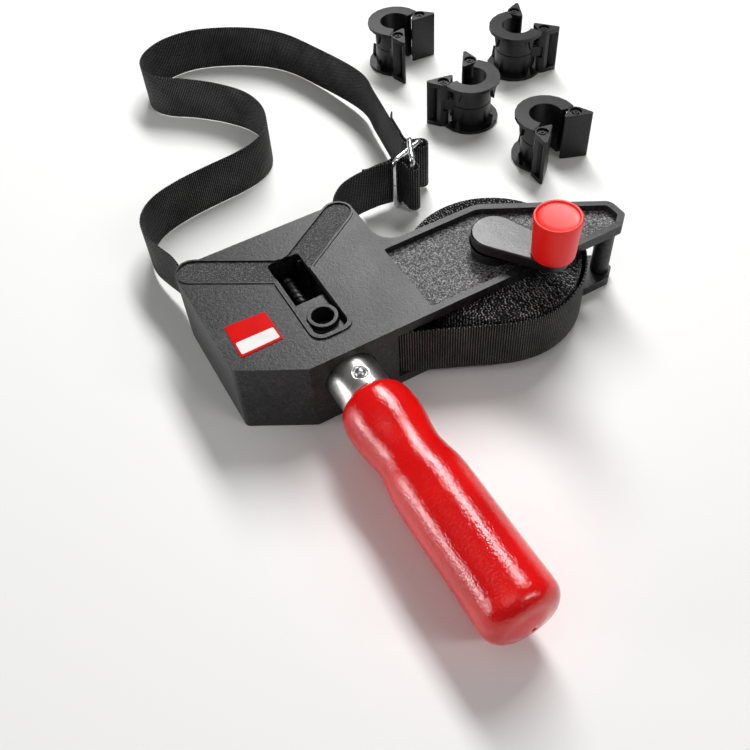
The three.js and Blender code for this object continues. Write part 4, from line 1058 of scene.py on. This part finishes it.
@dataclass
class GripAndSpindle:
    """The turned grip, its ferrule with the ball-headed pin, and the threaded spindle.

    Places along the axis are millimetres from the front edge, towards the grip's end.
    """

    body: str = "spindle_and_grip"
    height: float = 22.0
    profile: Plan = (
        (10.9, 95.3), (12.6, 96.2), (14.2, 98.5), (15.05, 102.0), (15.4, 108.0), (14.9, 114.0),
        (13.95, 120.0), (13.5, 126.0), (14.2, 132.0), (15.2, 138.0), (15.5, 145.0), (15.5, 160.0),
        (15.4, 175.0), (15.5, 190.0), (15.5, 195.5), (14.95, 198.2), (13.45, 200.4), (11.2, 201.95),
        (8.5, 202.55), (5.5, 203.6), (2.8, 204.25), (1.2, 204.42),
    )
    tenon: Plan = ((0.0, 79.0), (10.0, 79.0), (10.0, 95.2))
    end: float = 204.5
    hole: float = 0.9
    hole_depth: float = 6.0
    sleeve_radius: float = 11.2
    sleeve_foot: Plan = ((4.3, 77.2), (10.9, 77.2))
    sleeve_lip: Plan = (
        (11.2, 94.2), (11.1, 94.75), (10.8, 95.0), (10.15, 95.0), (10.15, 78.7), (4.3, 78.7), (4.3, 77.2),
    )
    # start, distance and number of the rows between, which are close where the dimple lies
    sleeve_rows: tuple[tuple[float, float, int], ...] = ((77.6, 0.8, 9), (84.6, 0.19, 42))
    pin_place: float = 88.5
    pin_top: float = 34.3  # height above the floor
    shank: Plan = ((1.7, 30.7), (1.7, 26.6), (0.0, 26.6))
    ball_radius: float = 2.6
    dimple_radius: float = 3.5
    dimple_depth: float = 0.85
    pitch: float = 3.0
    thread_radius: float = 4.0
    thread_root: float = 3.25
    thread_start: float = 16.6
    thread_turns: int = 18
    thread_steps: int = 28
    core: Plan = (
        (0.0, 15.8), (3.0, 15.8), (3.4, 16.3), (3.3, 16.6), (3.26, 70.0), (4.0, 70.6), (4.0, 149.4),
        (3.4, 150.0), (0.0, 150.0),
    )

    @property
    def centre(self) -> Point3:
        """The spindle's axis at the front edge."""
        return (0.0, FRONT_EDGE, self.height)

    def grip(self) -> None:
        """Turn the grip with its round end and the small hole in it."""
        body = [(point.x, point.y) for point in smooth_line(self.profile, 110)]
        floor = self.end - self.hole_depth
        hole = [(self.hole, self.end - 0.2), (self.hole, floor), (0.0, floor)]
        shape = spun([*self.tenon, *body, *hole], self.centre, (0, -1, 0), 112)
        dressed("turned_grip", shape, self.body, Finish.GRIP, "grip", SHARP_TURNED)

    def ferrule(self) -> None:
        """Turn the ferrule with its rolled edges and a dimple for the pin's head."""
        wall = self.sleeve_radius
        rows = [(wall, start + gap * i) for start, gap, count in self.sleeve_rows for i in range(count)]
        shape = spun([*self.sleeve_foot, *rows, *self.sleeve_lip], self.centre, (0, -1, 0), 288)
        middle = Vector((0.0, FRONT_EDGE - self.pin_place)) * MM
        for vert in shape.verts:
            away = (vert.co.xy - middle).length / (self.dimple_radius * MM)
            out = vert.co - Vector((0.0, vert.co.y, self.height * MM))
            if away < 1.0 and vert.co.z > self.height * MM and out.length > (wall - 0.2) * MM:
                slope = min((1.0 - away) / 0.4, 1.0)
                vert.co -= out.normalized() * self.dimple_depth * MM * slope * slope * (3.0 - 2.0 * slope)
        dressed("rolled_ferrule", shape, self.body, Finish.FERRULE, "ferrule")

    def pin(self) -> None:
        """Turn the pin with its ball head."""
        ball, top = self.ball_radius, self.pin_top
        angles = [index * math.pi / 24 for index in range(1, 15)]
        head = [(ball * math.sin(a), top - ball + ball * math.cos(a)) for a in angles]
        place = (0.0, FRONT_EDGE - self.pin_place, 0.0)
        shape = spun([(0.0, top), *head, *self.shank], place, (0, 0, 1), 48)
        dressed("ball_pin", shape, self.body, Finish.PIN, "ferrule_pin")

    def spindle(self) -> None:
        """Cut the thread as one long helix over a core."""
        shape = bmesh.new()
        crest, root = self.thread_radius, self.thread_root
        turns, steps = self.thread_turns, self.thread_steps
        centre = Vector(self.centre) * MM
        ridge = [(root, 0.0), (root, 0.5), (crest, 1.3), (crest, 1.9), (root, 2.7), (root, self.pitch)]
        verts = [shape.verts.new(centre + Vector((r, -(self.thread_start + h), 0.0)) * MM) for r, h in ridge]
        edges = [shape.edges.new(pair) for pair in zip(verts, verts[1:])]
        bmesh.ops.spin(
            shape, geom=verts + edges, cent=centre, axis=(0, 1, 0), use_merge=False,
            dvec=(0, -self.pitch / steps * MM, 0), angle=2 * math.pi * turns, steps=steps * turns,
        )
        # The thread and its core take the near-black steel, painted shade of the slot.
        dressed("spindle_thread", cleaned(shape, 2 * WELD), self.body, Finish.SPINDLE_PAINTED_SHADE)
        shape = spun(self.core, self.centre, (0, -1, 0), 48)
        dressed("spindle_core", shape, self.body, Finish.SPINDLE_PAINTED_SHADE, "spindle")

    def build(self) -> None:
        """Make all that turns with the grip."""
        self.grip()
        self.ferrule()
        self.pin()
        self.spindle()
        refined("thrust_collar", self.body, Finish.STEEL, 0.3)


@dataclass
class SliderAndReel:
    """The slider with its cam, and the reel with its crank."""

    # node, body, finish, width and faces of the rounding
    pieces: tuple[tuple[str, str, Finish, float, int], ...] = (
        ("slider", "slider_block", Finish.SATIN, 0.3, 2),
        ("cam_pin", "slider_block", Finish.STEEL, 0.2, 2),
        ("cam_spring", "slider_block", Finish.WIRE, 0.02, 1),
        ("band_cam", "cam", Finish.STEEL, 0.15, 2),
        ("reel_drum", "reel", Finish.SATIN, 0.25, 2),
        ("crank_lever", "reel", Finish.LEVER, 1.0, 4),
        ("crank_bolt", "reel", Finish.STEEL, 0.3, 2),
        ("knob_pin", "reel", Finish.STEEL, 0.3, 2),
    )
    knob_place: Point = (93.5167, -84.1309)
    knob_foot: float = 45.4
    knob_top: float = 65.1
    knob_radius: float = 9.15
    knob_flare: float = 0.75
    knob_edge: float = 0.45
    pin_radius: float = 3.0
    pin_end: float = 58.3

    def knob(self) -> None:
        """Turn the knob with its dished top."""
        foot, top, radius, edge = self.knob_foot, self.knob_top, self.knob_radius, self.knob_edge
        x, y = self.knob_place
        bore = [(0.0, self.pin_end), (self.pin_radius, self.pin_end), (self.pin_radius, foot)]
        profile = [*bore, (8.7, foot), (9.0, foot + 0.1), (radius, foot + 0.4)]
        rise = top - foot - 0.4 - edge
        profile += [(radius + self.knob_flare * i / 8, foot + 0.4 + rise * i / 8) for i in range(1, 9)]
        crown, angles = radius + self.knob_flare - edge, [math.pi / 10 * i for i in range(1, 6)]
        profile += [(crown + edge * math.cos(a), top - edge + edge * math.sin(a)) for a in angles]
        dish = ((9.0, 0.0), (8.75, 0.12), (8.5, 0.55), (8.2, 0.68), (6.0, 0.84), (3.5, 0.96), (0.0, 1.02))
        profile += [(out, top - down) for out, down in dish]
        shape = spun(profile, (x, y + FRONT_EDGE, 0.0), (0, 0, 1), 96)
        dressed("red_knob", shape, "knob", Finish.KNOB, "crank_knob", SHARP_TURNED)

    def build(self) -> None:
        """Make the slider, the cam, the drum, the lever and the knob."""
        for piece in self.pieces:
            refined(*piece)
        self.knob()


@dataclass
class HookWires:
    """The closed ring in the long eye and the hook in the short eye, bent from round wire."""

    radius: float = 1.25
    ring_bend: float = 3.2
    hook_bend: float = 2.6
    bend_steps: int = 8
    low: float = 1.55
    high: float = 29.9
    outer_bar: Point = (77.9, 19.6)
    eye_bar: Point = (97.4, 26.8)
    hook_bar: Point = (84.2, 13.1)
    hook_tip: Point = (91.4, 27.9)
    reach: float = 2.9
    back: float = 0.62  # where the curl ends, from the bar to the tip
    butt: float = 0.25  # from the ring's seam to its middle

    def wire(self, name: str, places: Sequence[tuple[Vector, float]], bend: float, node: str) -> None:
        """Bend a wire through corners.

        Args:
            name: The piece's name.
            places: The corners' places in the plan and their heights in millimetres.
            bend: How far before a corner the wire begins to turn.
            node: The CAD node that it stands for.
        """
        corners = [place + Vector((0, 0, height)) for place, height in places]
        line = [corners[0]]
        for before, corner, after in zip(corners, corners[1:], corners[2:]):
            start = corner + (before - corner).normalized() * bend
            end = corner + (after - corner).normalized() * bend
            for index in range(self.bend_steps + 1):
                t = index / self.bend_steps
                line.append(start * (1 - t) ** 2 + corner * 2 * t * (1 - t) + end * t * t)
        line.append(corners[-1])
        curve = bpy.data.curves.new(f"{name}_line", "CURVE")
        adjusted(curve, dimensions="3D", bevel_depth=self.radius * MM, bevel_resolution=6, use_fill_caps=True)
        spline = curve.splines.new("POLY")
        spline.points.add(len(line) - 1)
        for knot, point in zip(spline.points, line):
            knot.co = (*((point + Vector((0, FRONT_EDGE, 0))) * MM), 1.0)
        holder = in_scene(f"{name}_line", curve)
        bpy.context.view_layer.update()
        mesh = bpy.data.meshes.new_from_object(holder.evaluated_get(bpy.context.evaluated_depsgraph_get()))
        bpy.data.objects.remove(holder)
        shape = bmesh.new()
        shape.from_mesh(mesh)
        dressed(name, cleaned(shape), "housing", Finish.WIRE, node, SHARP_TURNED)

    def build(self) -> None:
        """Bend the ring and the hook."""
        middle = (self.low + self.high) / 2
        plan = (self.outer_bar, self.eye_bar, self.hook_bar, self.hook_tip)
        outer, eye, bar, tip = (Vector((*p, 0.0)) for p in plan)
        low, high, reach = self.low, self.high, self.reach
        ring = [(outer, middle + self.butt), (outer, high), (eye, high), (eye, low), (outer, low)]
        self.wire("wire_ring", [*ring, (outer, middle - self.butt)], self.ring_bend, "loop_ring")
        along = (eye - outer).normalized()
        foot = outer + along * (bar - outer).dot(along)
        towards = (bar - foot).normalized()
        hook = [(foot + towards * reach, low), (bar, low), (bar, high + reach), (tip, high + reach)]
        hook += [(tip, high - reach), (bar.lerp(tip, self.back), high - reach)]
        self.wire("wire_hook", hook, self.hook_bend, "strap_hook")


@dataclass
class CornerPieces:
    """The four loose corner pieces with their swinging jaws."""

    names: tuple[str, ...] = ("corner_a", "corner_b", "corner_c", "corner_d")

    def build(self) -> None:
        """Dress the spools, the jaws and their pins."""
        for name in self.names:
            refined(f"{name}_spool", "housing", Finish.SATIN, 0.3)
            for hand in ("left", "right"):
                refined(f"{name}_jaw_{hand}", f"{name}_{hand}", Finish.SATIN, 0.35)
                # the pins take the near-black painted shade of their recesses
                refined(f"{name}_jaw_pin_{hand}", "housing", Finish.PIN_PAINTED_SHADE, 0.3)


@dataclass(frozen=True)
class Lamp:
    """A soft rectangular lamp."""

    name: str
    way: Point3  # from what it lights towards it
    far: float
    size: Point  # its width, and its depth along the view into the scene, in metres
    power: float

    def hang(self, target: Vector) -> None:
        """Hang the lamp so that it faces a point.

        Args:
            target: The point.
        """
        data = bpy.data.lights.new(self.name, "AREA")
        adjusted(data, shape="RECTANGLE", size=self.size[0], size_y=self.size[1], energy=self.power)
        back = Vector(self.way).normalized()
        deep = Vector((0.0, 1.0, 0.0))
        deep = (deep - back * deep.dot(back)).normalized()
        turn = Matrix((deep.cross(back), deep, back)).transposed().to_4x4()
        in_scene(self.name, data).matrix_world = Matrix.Translation(target + back * self.far) @ turn


@dataclass
class Studio:
    """Camera, pale floor and soft light."""

    place: Point3 = (-0.09021, -0.27572, 0.30340)
    yaw: float = 0.4526
    pitch: float = 0.8975
    roll: float = -0.0779
    lens: float = 42.875
    middle: Point3 = (0.0, -0.13, 0.03)
    floor_size: float = 6.0
    floor_drop: float = 0.0002
    horizon: float = 0.06
    zenith: float = 0.14
    fade_start: float = 0.4  # from here on, in metres from the middle, the floor turns to white paper
    fade_end: float = 1.0
    lamps: tuple[Lamp, ...] = (
        Lamp("key", (0.44, 0.6, 0.782), 1.25, (0.24, 0.9), 15.0),
        Lamp("left_rim", (-0.884, 0.444, 0.149), 1.1, (0.2, 0.5), 4.2),
        Lamp("front_right", (0.4, -0.66, 0.64), 1.2, (0.7, 0.15), 3.0),
        Lamp("overhead", (-0.45, -0.1, 1.0), 1.3, (0.9, 0.9), 2.0),
    )

    def camera(self) -> None:
        """Set the camera at the photograph's viewing angle."""
        flat = math.cos(self.pitch)
        ahead = Vector((math.sin(self.yaw) * flat, math.cos(self.yaw) * flat, -math.sin(self.pitch)))
        right = Vector((math.cos(self.yaw), -math.sin(self.yaw), 0.0))
        up = right.cross(ahead)
        across = right * math.cos(self.roll) + up * math.sin(self.roll)
        above = up * math.cos(self.roll) - right * math.sin(self.roll)
        data = bpy.data.cameras.new("studio_camera")
        adjusted(data, lens=self.lens, sensor_width=36.0, sensor_fit="HORIZONTAL", clip_start=0.01)
        camera = in_scene("studio_camera", data)
        turn = Matrix((across, above, -ahead)).transposed().to_4x4()
        camera.matrix_world = Matrix.Translation(self.place) @ turn
        bpy.context.scene.camera = camera

    def floor(self) -> None:
        """A pale floor that keeps the shadow, and turns to white paper for the camera far out."""
        graph = Graph("pale_floor")
        cloud = graph.noise(graph.object_space(), 3.0)
        graph.colour(cloud, [(0.0, (0.88, 0.88, 0.87)), (1.0, (0.92, 0.92, 0.91))])
        graph.set(graph.shader, Roughness=0.55)
        away = adjusted(graph.add("VectorMath"), operation="LENGTH")
        graph.link(graph.object_space(), away.inputs[0])
        limits = {"From_Min": self.fade_start, "From_Max": self.fade_end}
        fade = graph.fed("MapRange", "Value", away.outputs["Value"], **limits)
        surface = graph.seen(graph.shader.outputs[0], graph.add("Emission").outputs[0], fade)
        graph.link(surface, graph.output.inputs["Surface"])
        shape = bmesh.new()
        bmesh.ops.create_grid(shape, x_segments=1, y_segments=1, size=self.floor_size)
        mesh = to_mesh(shape, "floor_mesh")
        mesh.materials.append(graph.material)
        floor = in_scene("floor", mesh)
        floor.location = (0.0, 0.0, -self.floor_drop)

    def world(self) -> None:
        """A white ground for the camera, and a soft sky that darkens towards the horizon for the light."""
        world = bpy.data.worlds.new("studio_world")
        nodes = Nodes(world)
        paper = nodes.add("Background", Color=(1.0, 1.0, 1.0, 1.0), Strength=1.0)
        height = nodes.add("SeparateXYZ")
        nodes.link(nodes.add("TexCoord").outputs["Generated"], height.inputs[0])
        limits = {"From_Min": 0.05, "From_Max": 0.95, "To_Min": self.horizon, "To_Max": self.zenith}
        strength = nodes.fed("MapRange", "Value", height.outputs["Z"], **limits)
        sky = nodes.fed("Background", "Strength", strength, Color=(1.0, 0.99, 0.975, 1.0))
        nodes.link(nodes.seen(sky, paper.outputs[0]), nodes.add("OutputWorld").inputs[0])
        bpy.context.scene.world = world

    def build(self) -> None:
        """Set the floor, the lamps and the world."""
        self.floor()
        for lamp in self.lamps:
            lamp.hang(Vector(self.middle))
        self.world()
        bpy.context.scene.view_settings.view_transform = "Standard"


def main() -> None:
    """Build the camera, the hook's wires and the band first, then everything else."""
    studio = Studio()
    studio.camera()
    HookWires().build()
    Webbing(BandRoute()).build()
    Housing().build()
    GripAndSpindle().build()
    SliderAndReel().build()
    CornerPieces().build()
    studio.build()


if __name__ == "__main__":
    logging.basicConfig(level=logging.INFO, format="%(message)s")
    main()
